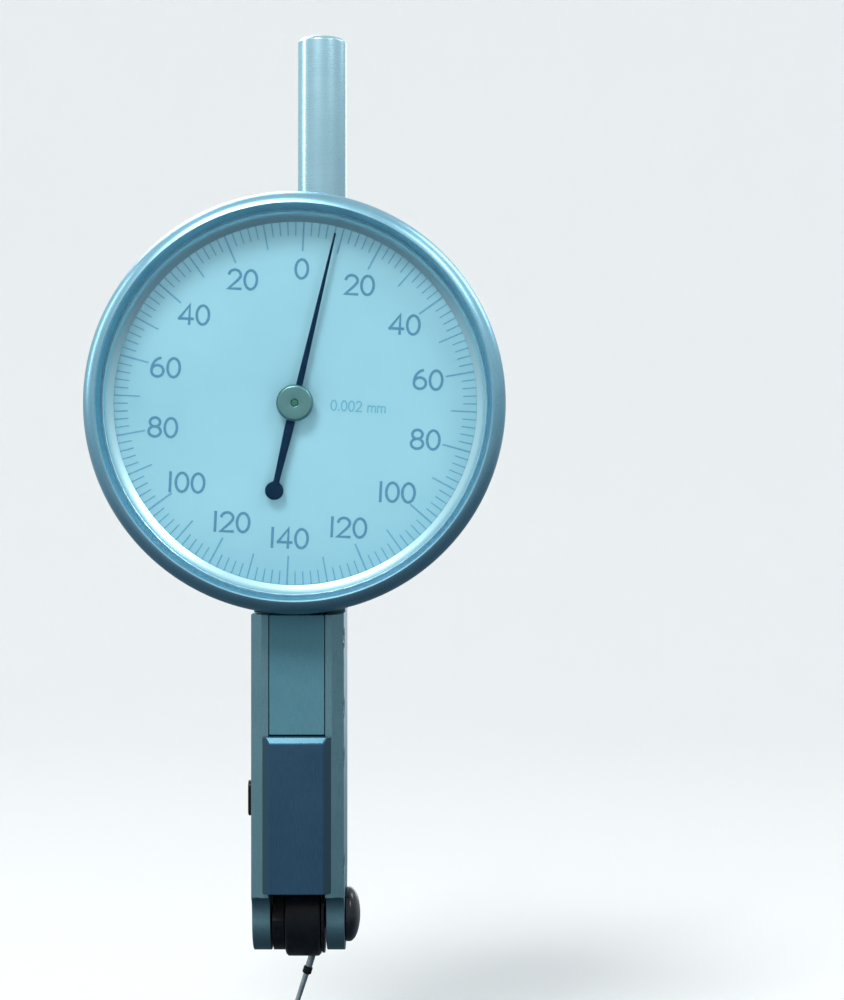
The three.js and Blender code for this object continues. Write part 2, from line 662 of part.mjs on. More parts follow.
// Pointer: thin blade with a waisted tail that ends in a small balance disc, under a turned hub
const pointerThickness = 0.2;
const pointerTipInset = 1.25;
const pointerReach = dialWindowRadius - pointerTipInset;
const bladeRootHalf = 0.3;
const bladeTipHalf = 0.09;
const tailReach = 8.55;
const tailDiscRadius = 0.9;
const tailNeckHalf = 0.24;
const tailSwellHalf = 0.55;
const tailSwellShare = 0.5;
const tailNeckShare = 0.82;
const pointerEyeRadius = 1.3;
const hubRadius = 1.757;
const hubFlange = 0.45;
const hubBossRadius = 0.65;
const hubBossLength = 0.53;
const hubBossBack = hubTop + hubFlange + hubBossLength;
const pointerFront = hubTop + hubFlange + seatGap;
const bladeOutline = polygon([
  [-bladeRootHalf, 0], [-bladeTipHalf, pointerReach], [bladeTipHalf, pointerReach], [bladeRootHalf, 0],
  [tailSwellHalf, -tailReach * tailSwellShare], [tailNeckHalf, -tailReach * tailNeckShare],
  [tailNeckHalf, -tailReach], [-tailNeckHalf, -tailReach], [-tailNeckHalf, -tailReach * tailNeckShare],
  [-tailSwellHalf, -tailReach * tailSwellShare],
]);
const pointerBack = pointerFront + pointerThickness;
const bladeBlank = joined(
  deepenedAlongY(bladeOutline, pointerFront, pointerBack),
  rod(pointerEyeRadius, pointerFront, pointerBack, smallSides),
  rod(tailDiscRadius, pointerFront, pointerBack, smallSides).translate(0, 0, -tailReach));
const bladeEye = rod(
  hubBossRadius + fitGap, pointerFront - holeOverrun, pointerBack + holeOverrun, smallSides,
);
addPiece("pointer", cut(bladeBlank, bladeEye), blueSteel, [0, 0, 0], [0, pointerAngle, 0]);
addPiece("pointer_hub", turned([
  [arborRadius + fitGap, hubTop], [hubRadius, hubTop], [hubRadius, hubTop + hubFlange],
  [hubBossRadius, hubTop + hubFlange], [hubBossRadius, hubBossBack], [arborRadius + fitGap, hubBossBack],
  [arborRadius + fitGap, hubTop],
], middleSides), hubMetal);

// Intermediate arbor: lies across the body between two jewels, with a twelve-leaf pinion for the sector
const crossShaftRadius = 0.4;
const crossPivotRadius = 0.2;
const crossShoulder = channelHalf - fitGap;
const crossReach = channelHalf + jewelPocketDepth - fitGap;
const sectorLeft = 1.1;
const sectorThickness = 0.8;
const pinionSideMargin = 0.25;
const sectorPinion = widenedAlongX(polygon(gearOutline(sectorPinionRadius, sectorPinionLeaves,
  sectorModule * addendumShare, sectorModule * dedendumShare, toothWidthShare, true)
  .map(([u, v]) => [v, -u])), sectorLeft - pinionSideMargin, sectorLeft + sectorThickness + pinionSideMargin);
const crossShaft = laidAlongX(turned([
  [0, -crossReach], [crossPivotRadius, -crossReach], [crossPivotRadius, -crossShoulder],
  [crossShaftRadius, -crossShoulder], [crossShaftRadius, crossShoulder], [crossPivotRadius, crossShoulder],
  [crossPivotRadius, crossReach], [0, crossReach],
], fineSides));
addPiece("intermediate_arbor", joined(crossShaft, sectorPinion), steel, [0, leverDepth, 0]);
const sideJewel = () => ring(
  crossPivotRadius + fitGap, jewelRadius, 0, jewelPocketDepth - fitGap, smallSides,
);
addPiece("jewel_left",
  laidAlongX(sideJewel()).translate(-channelHalf - jewelPocketDepth + fitGap, 0, 0), ruby,
  [0, leverDepth, 0]);
addPiece("jewel_right", laidAlongX(sideJewel()).translate(channelHalf, 0, 0), ruby, [0, leverDepth, 0]);

// Crown wheel: thin web with a rim whose teeth stand out to the side and meet the centre pinion
const crownBackFace = -1.9;
const crownWebFace = -1.35;
const crownPitchFace = -centrePinionRadius;
const crownRootFace = crownPitchFace - crownModule * dedendumShare;
const crownTipFace = crownPitchFace + crownModule * addendumShare;
const crownToothWidth = 2 * Math.PI * crownModule / 2 * toothWidthShare;
const crownRimInner = crownRadius - crownToothHalf;
const crownRimOuter = crownRadius + crownToothHalf;
const crownBlank = laidAlongX(turned([
  [crossShaftRadius + fitGap, crownBackFace], [crownRimOuter, crownBackFace], [crownRimOuter, crownRootFace],
  [crownRimInner, crownRootFace], [crownRimInner, crownWebFace], [crossShaftRadius + fitGap, crownWebFace],
  [crossShaftRadius + fitGap, crownBackFace],
], crownTeeth));
const crownToothSet = Array.from({ length: crownTeeth }, (_, tooth) =>
  block([crownRootFace - fitGap, crownTipFace], [-crownRimOuter + seatGap, -crownRimInner - seatGap],
    [-crownToothWidth / 2, crownToothWidth / 2]).rotateX((2 * Math.PI * tooth) / crownTeeth));
addPiece("crown_wheel", joined(crownBlank, ...crownToothSet), brass, [0, leverDepth, 0]);

// Sector lever: long arm with a toothed head, a crank over the contact holder and a hub on the pivot screws
const sectorHeadTeeth = 5;
const sectorRim = 1.2;
const armHalf = 0.5;
const armFootHalf = 1.1;
const crankHeight = 0.8;
const crankGap = 0.35;
const plateLeft = channelHalf - fitGap * 2;
const plateThickness = 1.1;
const leverHubRadius = 1.5;
const leverHubEnd = 2.4;
const leverBore = 0.6;
const crankBottom = pivotHeight + holderRadius + crankGap;
const crankTop = crankBottom + crankHeight;
const sectorPitchAngle = (Math.PI * sectorModule) / sectorRadius;
const sectorPoint = (radius, angle) => [radius * Math.sin(angle), radius * Math.cos(angle)];
const sectorTipHalf = (sectorPitchAngle * toothWidthShare * toothTipShare) / 2;
const sectorRootHalf = (sectorPitchAngle * toothWidthShare * toothRootShare) / 2;
const sectorOutline = [];
for (let tooth = 0; tooth < sectorHeadTeeth; tooth += 1) {
  const middle = sectorPitchAngle * (tooth - (sectorHeadTeeth - 1) / 2);
  const tip = sectorRadius + sectorModule * addendumShare;
  const root = sectorRadius - sectorModule * dedendumShare;
  sectorOutline.push(sectorPoint(root, middle - sectorRootHalf), sectorPoint(tip, middle - sectorTipHalf),
    sectorPoint(tip, middle + sectorTipHalf), sectorPoint(root, middle + sectorRootHalf));
}
const sectorFloor = sectorRadius - sectorRim;
const crankTopFromPivot = crankTop - pivotHeight;
const armOutline = polygon([
  ...sectorOutline,
  [sectorRim, sectorFloor], [armHalf, sectorFloor - sectorRim],
  [armFootHalf, crankTopFromPivot - crankHeight], [-armFootHalf, crankTopFromPivot - crankHeight],
  [-armHalf, sectorFloor - sectorRim], [-sectorRim, sectorFloor],
]);
const leverArm = widenedAlongX(armOutline, sectorLeft, sectorLeft + sectorThickness);
const leverCrank = block([-plateLeft, sectorLeft + sectorThickness], [-armFootHalf, armFootHalf],
  [crankTopFromPivot - crankHeight, crankTopFromPivot]);
const plateOutline = new THREE.Shape();
plateOutline.moveTo(-armFootHalf, crankTopFromPivot);
plateOutline.lineTo(-cheekRadius, 0);
plateOutline.absarc(0, 0, cheekRadius, Math.PI, 2 * Math.PI, false);
plateOutline.lineTo(armFootHalf, crankTopFromPivot);
plateOutline.closePath();
const leverPlate = widenedAlongX(plateOutline, -plateLeft, -plateLeft + plateThickness);
const leverHub = laidAlongX(rod(leverHubRadius, -plateLeft + fitGap, leverHubEnd, middleSides));
const leverBoreTool = laidAlongX(
  rod(leverBore, -plateLeft - holeOverrun, leverHubEnd + holeOverrun, smallSides),
);
addPiece("sector_lever", cut(joined(leverArm, leverCrank, leverPlate, leverHub), leverBoreTool), blackOxide,
  [0, leverDepth, pivotHeight]);

// Pivot screws: a domed head on the right, a slotted grub screw flush with the left cheek
const pivotHeadRadius = 2.7;
const pivotHeadHeight = 1.45;
const pivotHeadRim = 0.35;
const pivotTipRadius = leverBore - fitGap;
const pivotTipLength = 0.9;
const grubSlotWidth = 0.35;
const grubSlotDepth = 0.6;
const pivotShankEnd = channelHalf + fitGap;
const pivotTipEnd = leverHubEnd - pivotTipLength;
const domeSteps = 4;
const domePoints = Array.from({ length: domeSteps }, (_, step) => {
  const angle = (quarterTurn * step) / domeSteps;
  const rise = (pivotHeadHeight - pivotHeadRim) * Math.sin(angle);
  return [pivotHeadRadius * Math.cos(angle), halfWidth + pivotHeadRim + rise];
});
addPiece("pivot_screw_right", laidAlongX(turned([
  [0, pivotTipEnd], [pivotTipRadius, pivotTipEnd],
  [pivotTipRadius, pivotShankEnd], [pivotScrewShank, pivotShankEnd],
  [pivotScrewShank, halfWidth + seatGap], [pivotHeadRadius, halfWidth + seatGap], ...domePoints,
  [0, halfWidth + pivotHeadHeight],
], middleSides)), blackOxide, [0, leverDepth, pivotHeight]);
const grubTipEnd = -plateLeft + pivotTipLength;
const grubBlank = laidAlongX(turned([
  [0, -halfWidth], [pivotScrewShank, -halfWidth],
  [pivotScrewShank, -pivotShankEnd], [pivotTipRadius, -pivotShankEnd],
  [pivotTipRadius, grubTipEnd], [0, grubTipEnd],
], middleSides));
const grubSlot = block(
  [-halfWidth - holeOverrun, -halfWidth + grubSlotDepth],
  [-pivotScrewShank - holeOverrun, pivotScrewShank + holeOverrun],
  [-grubSlotWidth / 2, grubSlotWidth / 2],
);
addPiece("pivot_screw_left", cut(grubBlank, grubSlot), blackOxide, [0, leverDepth, pivotHeight]);

// Contact holder: black drum that turns stiffly on the lever's hub, with a friction washer beside it
const holderLeft = -plateLeft + plateThickness + fitGap;
const holderRight = 2.15;
const holderChamfer = 0.25;
const holderSides = 40;
const washerThickness = 0.25;
const washerRadius = 3.8;
const contactRoot = 1.2;
const contactStub = 1.2;
const contactStubRadius = 0.4;
const holderBore = leverHubRadius + fitGap;
const contactTurn = [0, contactLean, 0];
const contactPlace = [contactRoot, leverDepth, pivotHeight - holderRadius];
const holderBlank = laidAlongX(turned([
  [holderBore, holderLeft], [
    holderRadius - holderChamfer, holderLeft,
  ], [holderRadius, holderLeft + holderChamfer],
  [holderRadius, holderRight - holderChamfer], [holderRadius - holderChamfer, holderRight],
  [holderBore, holderRight], [holderBore, holderLeft],
], holderSides));
const contactSocket = stoodAlongZ(rod(
  contactStubRadius + fitGap, -holeOverrun, contactStub + fitGap, fineSides,
)).rotateY(contactLean).translate(contactRoot, 0, -holderRadius);
addPiece("contact_holder", cut(holderBlank, contactSocket), blackOxide, [0, leverDepth, pivotHeight]);
addPiece("friction_washer", laidAlongX(ring(holderBore, washerRadius, holderRight + fitGap,
  holderRight + fitGap + washerThickness, middleSides)), blackOxide, [0, leverDepth, pivotHeight]);

// Contact point: thin tapered steel shank screwed into the holder, with a collar, and a hard ball at its end
const neckRadius = 0.34;
const neckLength = 1.2;
const collarRadius = 0.45;
const collarLength = 0.7;
const shankRadius = 0.28;
const shankTipRadius = 0.2;
const ballRadius = 0.5;
const reachAlongShank = (contactLength - holderRadius) / Math.cos(contactLean);
const shankEnd = reachAlongShank - ballRadius - seatGap;
addPiece("contact_point", stoodAlongZ(turned([
  [0, contactStub], [contactStubRadius, contactStub], [contactStubRadius, fitGap], [neckRadius, 0],
  [neckRadius, -neckLength], [collarRadius, -neckLength], [collarRadius, -neckLength - collarLength],
  [shankRadius, -neckLength - collarLength], [shankTipRadius, -shankEnd], [0, -shankEnd],
], fineSides)), steel, contactPlace, contactTurn);
const ball = new THREE.SphereGeometry(ballRadius, smallSides, fineSides).translate(0, 0, -reachAlongShank);
addPiece("contact_ball", ball, steel, contactPlace, contactTurn);

// Reversing lever in its recess, and the leaf spring that it sets against the sector lever
const spindleStandOut = 0.35;
const spindleEnd = -channelHalf + spindleStandOut;
const crankPinRadius = 0.3;
const crankPinOffset = 0.55;
const crankPinReach = 0.35;
const tabShape = new THREE.Shape();
tabShape.moveTo(-tabHalfWidth, -tabHalfLength + tabHalfWidth);
tabShape.absarc(0, -tabHalfLength + tabHalfWidth, tabHalfWidth, Math.PI, 2 * Math.PI, false);
tabShape.absarc(0, tabHalfLength - tabHalfWidth, tabHalfWidth, 0, Math.PI, false);
tabShape.closePath();
const tabInner = -halfWidth + recessDepth - runningGap;
addPiece("reversing_lever", joined(
  widenedAlongX(tabShape, tabInner - tabThickness, tabInner),
  laidAlongX(rod(reversingSpindle, tabInner - fitGap, spindleEnd, smallSides)),
  laidAlongX(rod(crankPinRadius, spindleEnd - fitGap, spindleEnd + crankPinReach, fineSides))
    .translate(0, 0, crankPinOffset),
), blackOxide, [0, reversingDepth, reversingHeight]);

const springLeafGap = 0.2;
const springLeafThickness = 0.15;
const springLeafHalf = 0.5;
const springLeafEyeHalf = 0.9;
const springLeafEnd = reversingHeight + crankPinOffset + crankPinRadius + runningGap;
const springLeafLeft = -channelHalf + springLeafGap;
const leafBlank = joined(
  block([springLeafLeft, springLeafLeft + springLeafThickness],
    [
      springScrewDepth - springLeafHalf, springScrewDepth + springLeafHalf,
    ], [springLeafEnd, springScrewHeight]),
  block([springLeafLeft, springLeafLeft + springLeafThickness],
    [springScrewDepth - springLeafEyeHalf, springScrewDepth + springLeafEyeHalf],
    [springScrewHeight - springLeafEyeHalf, springScrewHeight + springLeafEyeHalf]));
const leafHole = laidAlongX(rod(springScrewShank + fitGap, springLeafLeft - holeOverrun,
  springLeafLeft + holeOverrun, fineSides)).translate(0, springScrewDepth, springScrewHeight);
addPiece("lever_spring", cut(leafBlank, leafHole), steel);
const springScrewHead = 0.8;
const springScrewHeadHeight = 0.5;
const springScrewSeat = springLeafLeft + springLeafThickness + seatGap;
addPiece("spring_screw",
  slottedScrew(springScrewHead, springScrewHeadHeight, springScrewShank,
    springScrewSeat + channelHalf + springScrewBite),
  steel, [springScrewSeat, springScrewDepth, springScrewHeight], [0, 0, quarterTurn]);

// Stem clamp: block and jaw that grip the dovetail, drawn together by a knurled screw
const clampStandOff = 0.3;
const clampFront = bodyBack + clampStandOff;
const clampCover = 0.9;
const clampBack = stemDepth + stemRadius + clampCover;
const clampSplitInset = 0.6;
const clampSplit = stemOffset - stemRadius - clampSplitInset;
const clampSlit = 0.3;
const clampCheek = 2.35;
const clampRight = stemOffset + stemRadius + clampCheek;
const jawCheek = 3.1;
const clampLeft = -railFootHalf - jawCheek;
const clampEdge = 0.6;
const clampScrewRadius = 1.1;
const clampScrewSetBack = 2.5;
const clampScrewDepth = railBack + clampScrewSetBack;
const clampScrewEndInset = 2;
const clampScrewEnd = clampRight - clampScrewEndInset;
const clampHeadRadius = 2.2;
const clampHeadLength = 2.4;
const stemStubRadius = 1.5;
const stemStubLength = 3.6;
const clampScrewDrop = 4.4;
const clampScrewHeight = clampTop - stemStubLength - clampScrewDrop;
const railCutter = new THREE.ExtrudeGeometry(railSection(runningGap), {
  depth: railTop - railBottom + holeOverrun, bevelEnabled: false,
}).translate(0, 0, railBottom);
const clampSection = polygon([
  [clampLeft, clampFront], [clampRight, clampFront], [clampRight, clampBack - clampEdge],
  [clampRight - clampEdge, clampBack], [clampLeft + clampEdge, clampBack], [clampLeft, clampBack - clampEdge],
]);
const clampSolid = { depth: clampTop - clampBottom, bevelEnabled: false };
const clampWhole = new THREE.ExtrudeGeometry(clampSection, clampSolid).translate(0, 0, clampBottom);
const clampHalf = (x0, x1) => common(clampWhole,
  block([x0, x1], [clampFront - holeOverrun, clampBack + holeOverrun], [clampBottom, clampTop]));
const clampBore = laidAlongX(rod(
  clampScrewRadius + fitGap, clampLeft - holeOverrun, clampScrewEnd + fitGap, smallSides,
)).translate(0, clampScrewDepth, clampScrewHeight);
const stemSocket = stoodAlongZ(rod(
  stemStubRadius + fitGap, clampTop - stemStubLength - fitGap, clampTop + holeOverrun, smallSides,
)).translate(stemOffset, stemDepth, 0);
addPiece("clamp_block",
  cut(clampHalf(clampSplit, clampRight), railCutter, clampBore, stemSocket), satinChrome);
addPiece("clamp_jaw", cut(clampHalf(clampLeft, clampSplit - clampSlit), railCutter, clampBore), satinChrome);
addPiece("clamp_screw", laidAlongX(turned([
  [0, clampLeft - seatGap - clampHeadLength], [clampHeadRadius, clampLeft - seatGap - clampHeadLength],
  [clampHeadRadius, clampLeft - seatGap], [clampScrewRadius, clampLeft - seatGap],
  [clampScrewRadius, clampScrewEnd], [0, clampScrewEnd],
], smallSides)), steel, [0, clampScrewDepth, clampScrewHeight]);

// Stem: round rod that stands on the clamp block, with a chamfered flat end
const stemChamfer = 0.35;
addPiece("stem", stoodAlongZ(turned([
  [0, clampTop - stemStubLength], [
    stemStubRadius, clampTop - stemStubLength,
  ], [stemStubRadius, clampTop + seatGap],
  [stemRadius, clampTop + seatGap], [
    stemRadius, stemReach - stemChamfer,
  ], [stemRadius - stemChamfer, stemReach],
  [0, stemReach],
], middleSides)), satinChrome, [stemOffset, stemDepth, 0]);

const dialTestIndicator = new THREE.Group();
dialTestIndicator.name = "dial_test_indicator";
dialTestIndicator.add(instrument);

export default dialTestIndicator;
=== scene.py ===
import math
import random

import bmesh
import bpy
from mathutils import Matrix, Vector


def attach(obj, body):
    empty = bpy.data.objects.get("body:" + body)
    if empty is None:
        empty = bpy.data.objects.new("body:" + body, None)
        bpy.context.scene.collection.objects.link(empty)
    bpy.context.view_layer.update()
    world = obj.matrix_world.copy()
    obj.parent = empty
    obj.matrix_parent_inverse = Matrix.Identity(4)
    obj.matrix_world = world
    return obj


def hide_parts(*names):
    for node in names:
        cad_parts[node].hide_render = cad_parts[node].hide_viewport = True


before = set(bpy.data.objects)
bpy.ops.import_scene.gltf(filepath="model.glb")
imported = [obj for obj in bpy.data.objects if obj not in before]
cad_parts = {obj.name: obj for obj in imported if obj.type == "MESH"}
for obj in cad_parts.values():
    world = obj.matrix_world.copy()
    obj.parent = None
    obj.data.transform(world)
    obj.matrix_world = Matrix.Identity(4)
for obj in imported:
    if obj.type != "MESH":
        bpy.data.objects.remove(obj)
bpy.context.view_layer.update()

# Camera: square in front of the instrument at the photograph's distance, looking
# straight back, with the dial left of the middle and the stylus tip below the frame.


def set_out(name, data):
    """Puts a new object into the scene."""
    made = bpy.data.objects.new(name, data)
    bpy.context.scene.collection.objects.link(made)
    return made


lens = bpy.data.cameras.new("bench_camera")
lens.lens = 72.85
lens.sensor_width = 36
lens.sensor_fit = "AUTO"
camera = set_out("bench_camera", lens)
camera.location = (0.01032, -0.209, -0.0475)
camera.rotation_euler = (math.radians(90), 0, 0)
bpy.context.scene.camera = camera

# Floor and backdrop: one pale painted bowl, flat under the instrument and curving up
# to a wall all round, with its top open to the soft light of the room. The bright
# metal doesn't mirror it.


class Wire:
    """One socket of a finish, which takes part in sums like a number."""

    def __init__(self, finish, socket):
        self.finish = finish
        self.socket = socket

    def maths(self, operation, first, second):
        return self.finish.node("Math", {"operation": operation}, {0: first, 1: second})

    def __add__(self, other):
        return self.maths("ADD", self, other)

    def __radd__(self, other):
        return self.maths("ADD", other, self)

    def __sub__(self, other):
        return self.maths("SUBTRACT", self, other)

    def __rsub__(self, other):
        return self.maths("SUBTRACT", other, self)

    def __mul__(self, other):
        return self.maths("MULTIPLY", self, other)

    def __rmul__(self, other):
        return self.maths("MULTIPLY", other, self)

    def __pow__(self, other):
        return self.maths("POWER", self, other)

    def __rpow__(self, other):
        return self.maths("POWER", other, self)

    def spread(self, low, high):
        """Stretches what lies between low and high over 0 to 1, and cuts off the rest."""
        return self.finish.node("MapRange", {"clamp": True}, {
            "Value": self, "From Min": low, "From Max": high})


class Finish:
    """A surface finish, or the sky, whose nodes are laid down one after another."""

    def __init__(self, name, of_sky=False):
        self.owner = (bpy.data.worlds if of_sky else bpy.data.materials).new(name)
        self.owner.use_nodes = True
        self.tree = self.owner.node_tree
        self.tree.nodes.clear()
        kind = "World" if of_sky else "Material"
        self.output = self.tree.nodes.new("ShaderNodeOutput" + kind)
        self.spot = self.node("TexCoord", {}, {}, "Generated" if of_sky else "Object")

    @staticmethod
    def found(sockets, name):
        """A socket by its full name, its plain name or its number."""
        full_names = {socket.identifier: socket for socket in sockets}
        return full_names[name] if name in full_names else sockets[name]

    def node(self, kind, settings, inputs, output=0):
        """Adds a node: its settings first, then the values or links of its sockets."""
        made = self.tree.nodes.new("ShaderNode" + kind)
        for name, value in settings.items():
            if name == "stops":
                ramp = made.color_ramp.elements
                while len(ramp) < len(value):
                    ramp.new(0.5)
                for stop, (place, shade) in zip(ramp, value):
                    stop.position = place
                    stop.color = shade
            else:
                setattr(made, name, value)
        for name, value in inputs.items():
            socket = self.found(made.inputs, name)
            if isinstance(value, Wire):
                self.tree.links.new(value.socket, socket)
            else:
                socket.default_value = value
        return Wire(self, self.found(made.outputs, output))

    def blend(self, share, first, second):
        """A colour between two others."""
        return self.node("Mix", {"data_type": "RGBA"}, {
            "Factor_Float": share, "A_Color": first, "B_Color": second}, "Result_Color")

    def grain(self, scale, detail=3, rough=0.55, spot=None, shift=0.0):
        """Cloudy unevenness from 0 to 1; scale is in waves per metre."""
        where = spot or self.spot
        if shift:
            where = self.node("VectorMath", {"operation": "ADD"}, {
                0: where, 1: (shift, shift * 0.7, -shift)})
        return self.node("TexNoise", {}, {
            "Vector": where, "Scale": scale, "Detail": detail, "Roughness": rough})

    def around(self, axis, centre):
        """The radius and the place along a lathe axis as one vector, and the radius, in metres."""
        shifted = self.node("VectorMath", {"operation": "SUBTRACT"}, {0: self.spot, 1: centre})
        parts = [self.node("SeparateXYZ", {}, {0: shifted}, letter) for letter in "XYZ"]
        along = parts.pop("XYZ".index(axis))
        radius = (parts[0] * parts[0] + parts[1] * parts[1]) ** 0.5
        return self.node("CombineXYZ", {}, {0: radius, 1: along}), radius

    def show(self, shader):
        """Joins a shader to the output."""
        self.tree.links.new(shader.socket, self.output.inputs["Surface"])

    def lay(self, colour, roughness, metal=0.0, relief=None, depth=0.0, **fixed):
        """Shows the usual shader; depth is the height of the relief in metres."""
        inputs = {"Base Color": colour, "Roughness": roughness, "Metallic": metal}
        if relief is not None:
            inputs["Normal"] = self.node("Bump", {}, {
                "Strength": 1.0, "Distance": depth, "Height": relief})
        for name, value in fixed.items():
            inputs[name.replace("_", " ")] = value
        self.show(self.node("BsdfPrincipled", {}, inputs))


def ink(red, green, blue):
    """A colour read off a screen from 0 to 255, as light."""
    def light(value):
        value /= 255
        return value / 12.92 if value <= 0.04045 else ((value + 0.055) / 1.055) ** 2.4
    return (light(red), light(green), light(blue), 1.0)


def mesh_of(name, blank):
    """Turns a blank into a mesh and clears the blank away."""
    data = bpy.data.meshes.new(name)
    blank.to_mesh(data)
    blank.free()
    return data


floor_height, floor_flat, floor_sweep, wall_top = -0.1065, 0.30, 0.62, 0.95
sweep_steps, bowl_steps = 24, 96
bowl_rings = [(floor_flat, floor_height)]
for step in range(1, sweep_steps + 1):
    angle = math.radians(90) * step / sweep_steps
    bowl_rings.append((floor_flat + floor_sweep * math.sin(angle),
                       floor_height + floor_sweep * (1 - math.cos(angle))))
bowl_rings.append((floor_flat + floor_sweep, wall_top))
bowl_blank = bmesh.new()
bowl_middle = bowl_blank.verts.new((0, 0, floor_height))
turns = [math.tau * i / bowl_steps for i in range(bowl_steps)]
rows = []
for radius, height in bowl_rings:
    rows.append([bowl_blank.verts.new((radius * math.cos(turn), radius * math.sin(turn), height))
                 for turn in turns])
for i in range(bowl_steps):
    j = (i + 1) % bowl_steps
    bowl_blank.faces.new((bowl_middle, rows[0][i], rows[0][j]))
    for low, high in zip(rows, rows[1:]):
        bowl_blank.faces.new((low[i], high[i], high[j], low[j]))
for face in bowl_blank.faces:
    face.smooth = True
bowl = set_out("studio_bowl", mesh_of("studio_bowl", bowl_blank))
plaster = Finish("pale_plaster")
plaster_cloud = plaster.grain(6, 4)
# Painted light: the plaster is painted lighter with height, from the floor up the wall.
plaster_painted_light = plaster.node("SeparateXYZ", {}, {0: plaster.spot}, "Z").spread(floor_height, 0.45)
plaster_tone = plaster.blend(plaster_cloud, ink(237, 240, 241), ink(241, 244, 245))
plaster.lay(plaster.blend(plaster_painted_light, plaster_tone, ink(244, 246, 247)),
            plaster_cloud * 0.1 + 0.8, 0.0, plaster.grain(900, 2), 0.00004)
bowl.data.materials.append(plaster.owner)
bowl.visible_glossy = False

# Lights: a key box above the instrument in front, to its left, with a strip at the far
# left, weaker boxes at the right and two behind, under a pale sky that darkens
# downwards. Only the key box lights the bowl.
sky = Finish("studio_sky", of_sky=True)
sky_top = (-0.10, -0.08, 0.99)
sky_slope = sky.node("VectorMath", {"operation": "DOT_PRODUCT"}, {0: sky.spot, 1: sky_top}, "Value")
sky_stops = ((0.0, (0.10, 0.125, 0.15, 1)), (0.30, (0.20, 0.24, 0.28, 1)),
             (0.40, (0.50, 0.55, 0.59, 1)), (0.5, (0.61, 0.67, 0.71, 1)),
             (0.6, (0.90, 0.95, 0.97, 1)), (1.0, (1.0, 1.0, 1.0, 1)))
sky_shade = sky.node("ValToRGB", {"stops": sky_stops}, {0: sky_slope.spread(-1, 1)})
sky.show(sky.node("Background", {}, {"Color": sky_shade, "Strength": 0.86}))
bpy.context.scene.world = sky.owner
off_the_bowl = bpy.data.collections.new("off_the_bowl")
off_the_bowl.objects.link(bowl)
off_the_bowl.collection_objects[0].light_linking.link_state = "EXCLUDE"
lamp_aim = Vector((-0.0017, -0.008, -0.045))


def soft_box(name, place, width, height, power, tint, lights_bowl=False):
    """A lamp behind a sheet of diffuser, turned towards the instrument."""
    lamp = bpy.data.lights.new(name, "AREA")
    lamp.shape = "RECTANGLE"
    lamp.size = width
    lamp.size_y = height
    lamp.energy = power
    lamp.color = tint
    stand = set_out(name, lamp)
    stand.location = place
    stand.rotation_euler = (lamp_aim - Vector(place)).to_track_quat("-Z", "Y").to_euler()
    stand.visible_camera = False
    if not lights_bowl:
        stand.light_linking.receiver_collection = off_the_bowl


soft_box("key_box", (-0.17, -0.42, 0.44), 0.22, 0.18, 2.8, (1.0, 0.99, 0.97), lights_bowl=True)
soft_box("strip_box", (-0.58, 0.03, 0.20), 0.06, 0.36, 0.5, (0.95, 0.98, 1.0))
soft_box("fill_box", (0.36, -0.30, 0.36), 0.12, 0.20, 0.7, (0.96, 0.99, 1.0))
soft_box("right_box", (0.42, 0.24, 0.36), 0.14, 0.36, 0.9, (0.97, 0.99, 1.0))
soft_box("back_box", (-0.20, 0.44, 0.38), 0.34, 0.28, 1.9, (1.0, 1.0, 0.99))
soft_box("rear_box", (0.05, 0.60, 0.03), 0.42, 0.34, 0.9, (1.0, 1.0, 1.0))
bpy.context.scene.view_settings.view_transform = "Standard"

# Bezel: the turned ring that the hand grips to set the dial, made of brass with
# satin chrome, with a rounded front lip, a band of fine straight knurling round its
# side and a bright cone inside that leads down to the dial.
dial_x, dial_y, dial_z = -1.75, -19, -38.3


def in_part(x, y, z):
    """Millimetres from the middle of the bezel's front, as metres in the part."""
    return ((x + dial_x) / 1000, (y + dial_y) / 1000, (z + dial_z) / 1000)


def on_axis(axis, level, a, b):
    """A point at a level along an axis; a and b are its other two places, in their order."""
    return {"X": (level, a, b), "Y": (a, level, b), "Z": (a, b, level)}[axis]


same_spot = 1e-6


def turned(axis, centre, profile, steps, ribs=0):
    """A blank from the lathe, in millimetres from the middle of the bezel's front.

    The profile is a list of (radius, along) or (radius, along, rib depth). It is a ring's
    section, or starts and ends on the axis."""
    rib_roundness = 1.6
    blank = bmesh.new()
    loops = []
    for radius, along, *rib in profile:
        loop = []
        for i in range(1 if radius < same_spot else steps):
            angle = math.tau * i / steps
            reach = radius
            if rib:
                reach -= rib[0] * abs(math.cos(ribs * angle / 2)) ** rib_roundness
            across, up = reach * math.sin(angle), reach * math.cos(angle)
            loop.append(blank.verts.new(on_axis(axis, along, centre[0] + across, centre[1] + up)))
        loops.append(loop)
    for first, second in zip(loops, loops[1:] + loops[:1]):
        if len(first) == 1 and len(second) == 1:
            continue
        for i in range(steps):
            j = (i + 1) % steps
            corners = [first[i % len(first)], first[j % len(first)],
                       second[j % len(second)], second[i % len(second)]]
            blank.faces.new([v for n, v in enumerate(corners) if v not in corners[:n]])
    bmesh.ops.recalc_face_normals(blank, faces=blank.faces)
    return blank


def placed(name, blank, finish, body, replaced, sharp=30, weighted=False):
    """Puts a finished blank into the instrument as a piece that rides on a body."""
    for vert in blank.verts:
        vert.co = in_part(*vert.co)
    for face in blank.faces:
        face.smooth = True
    data = mesh_of(name, blank)
    data.set_sharp_from_angle(angle=math.radians(sharp))
    data.materials.append(finish.owner)
    made = set_out(name, data)
    if weighted:
        even = made.modifiers.new("even_faces", "WEIGHTED_NORMAL")
        even.keep_sharp = True
    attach(made, body)
    if replaced:
        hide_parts(*replaced)


tone_edge = 0.0001


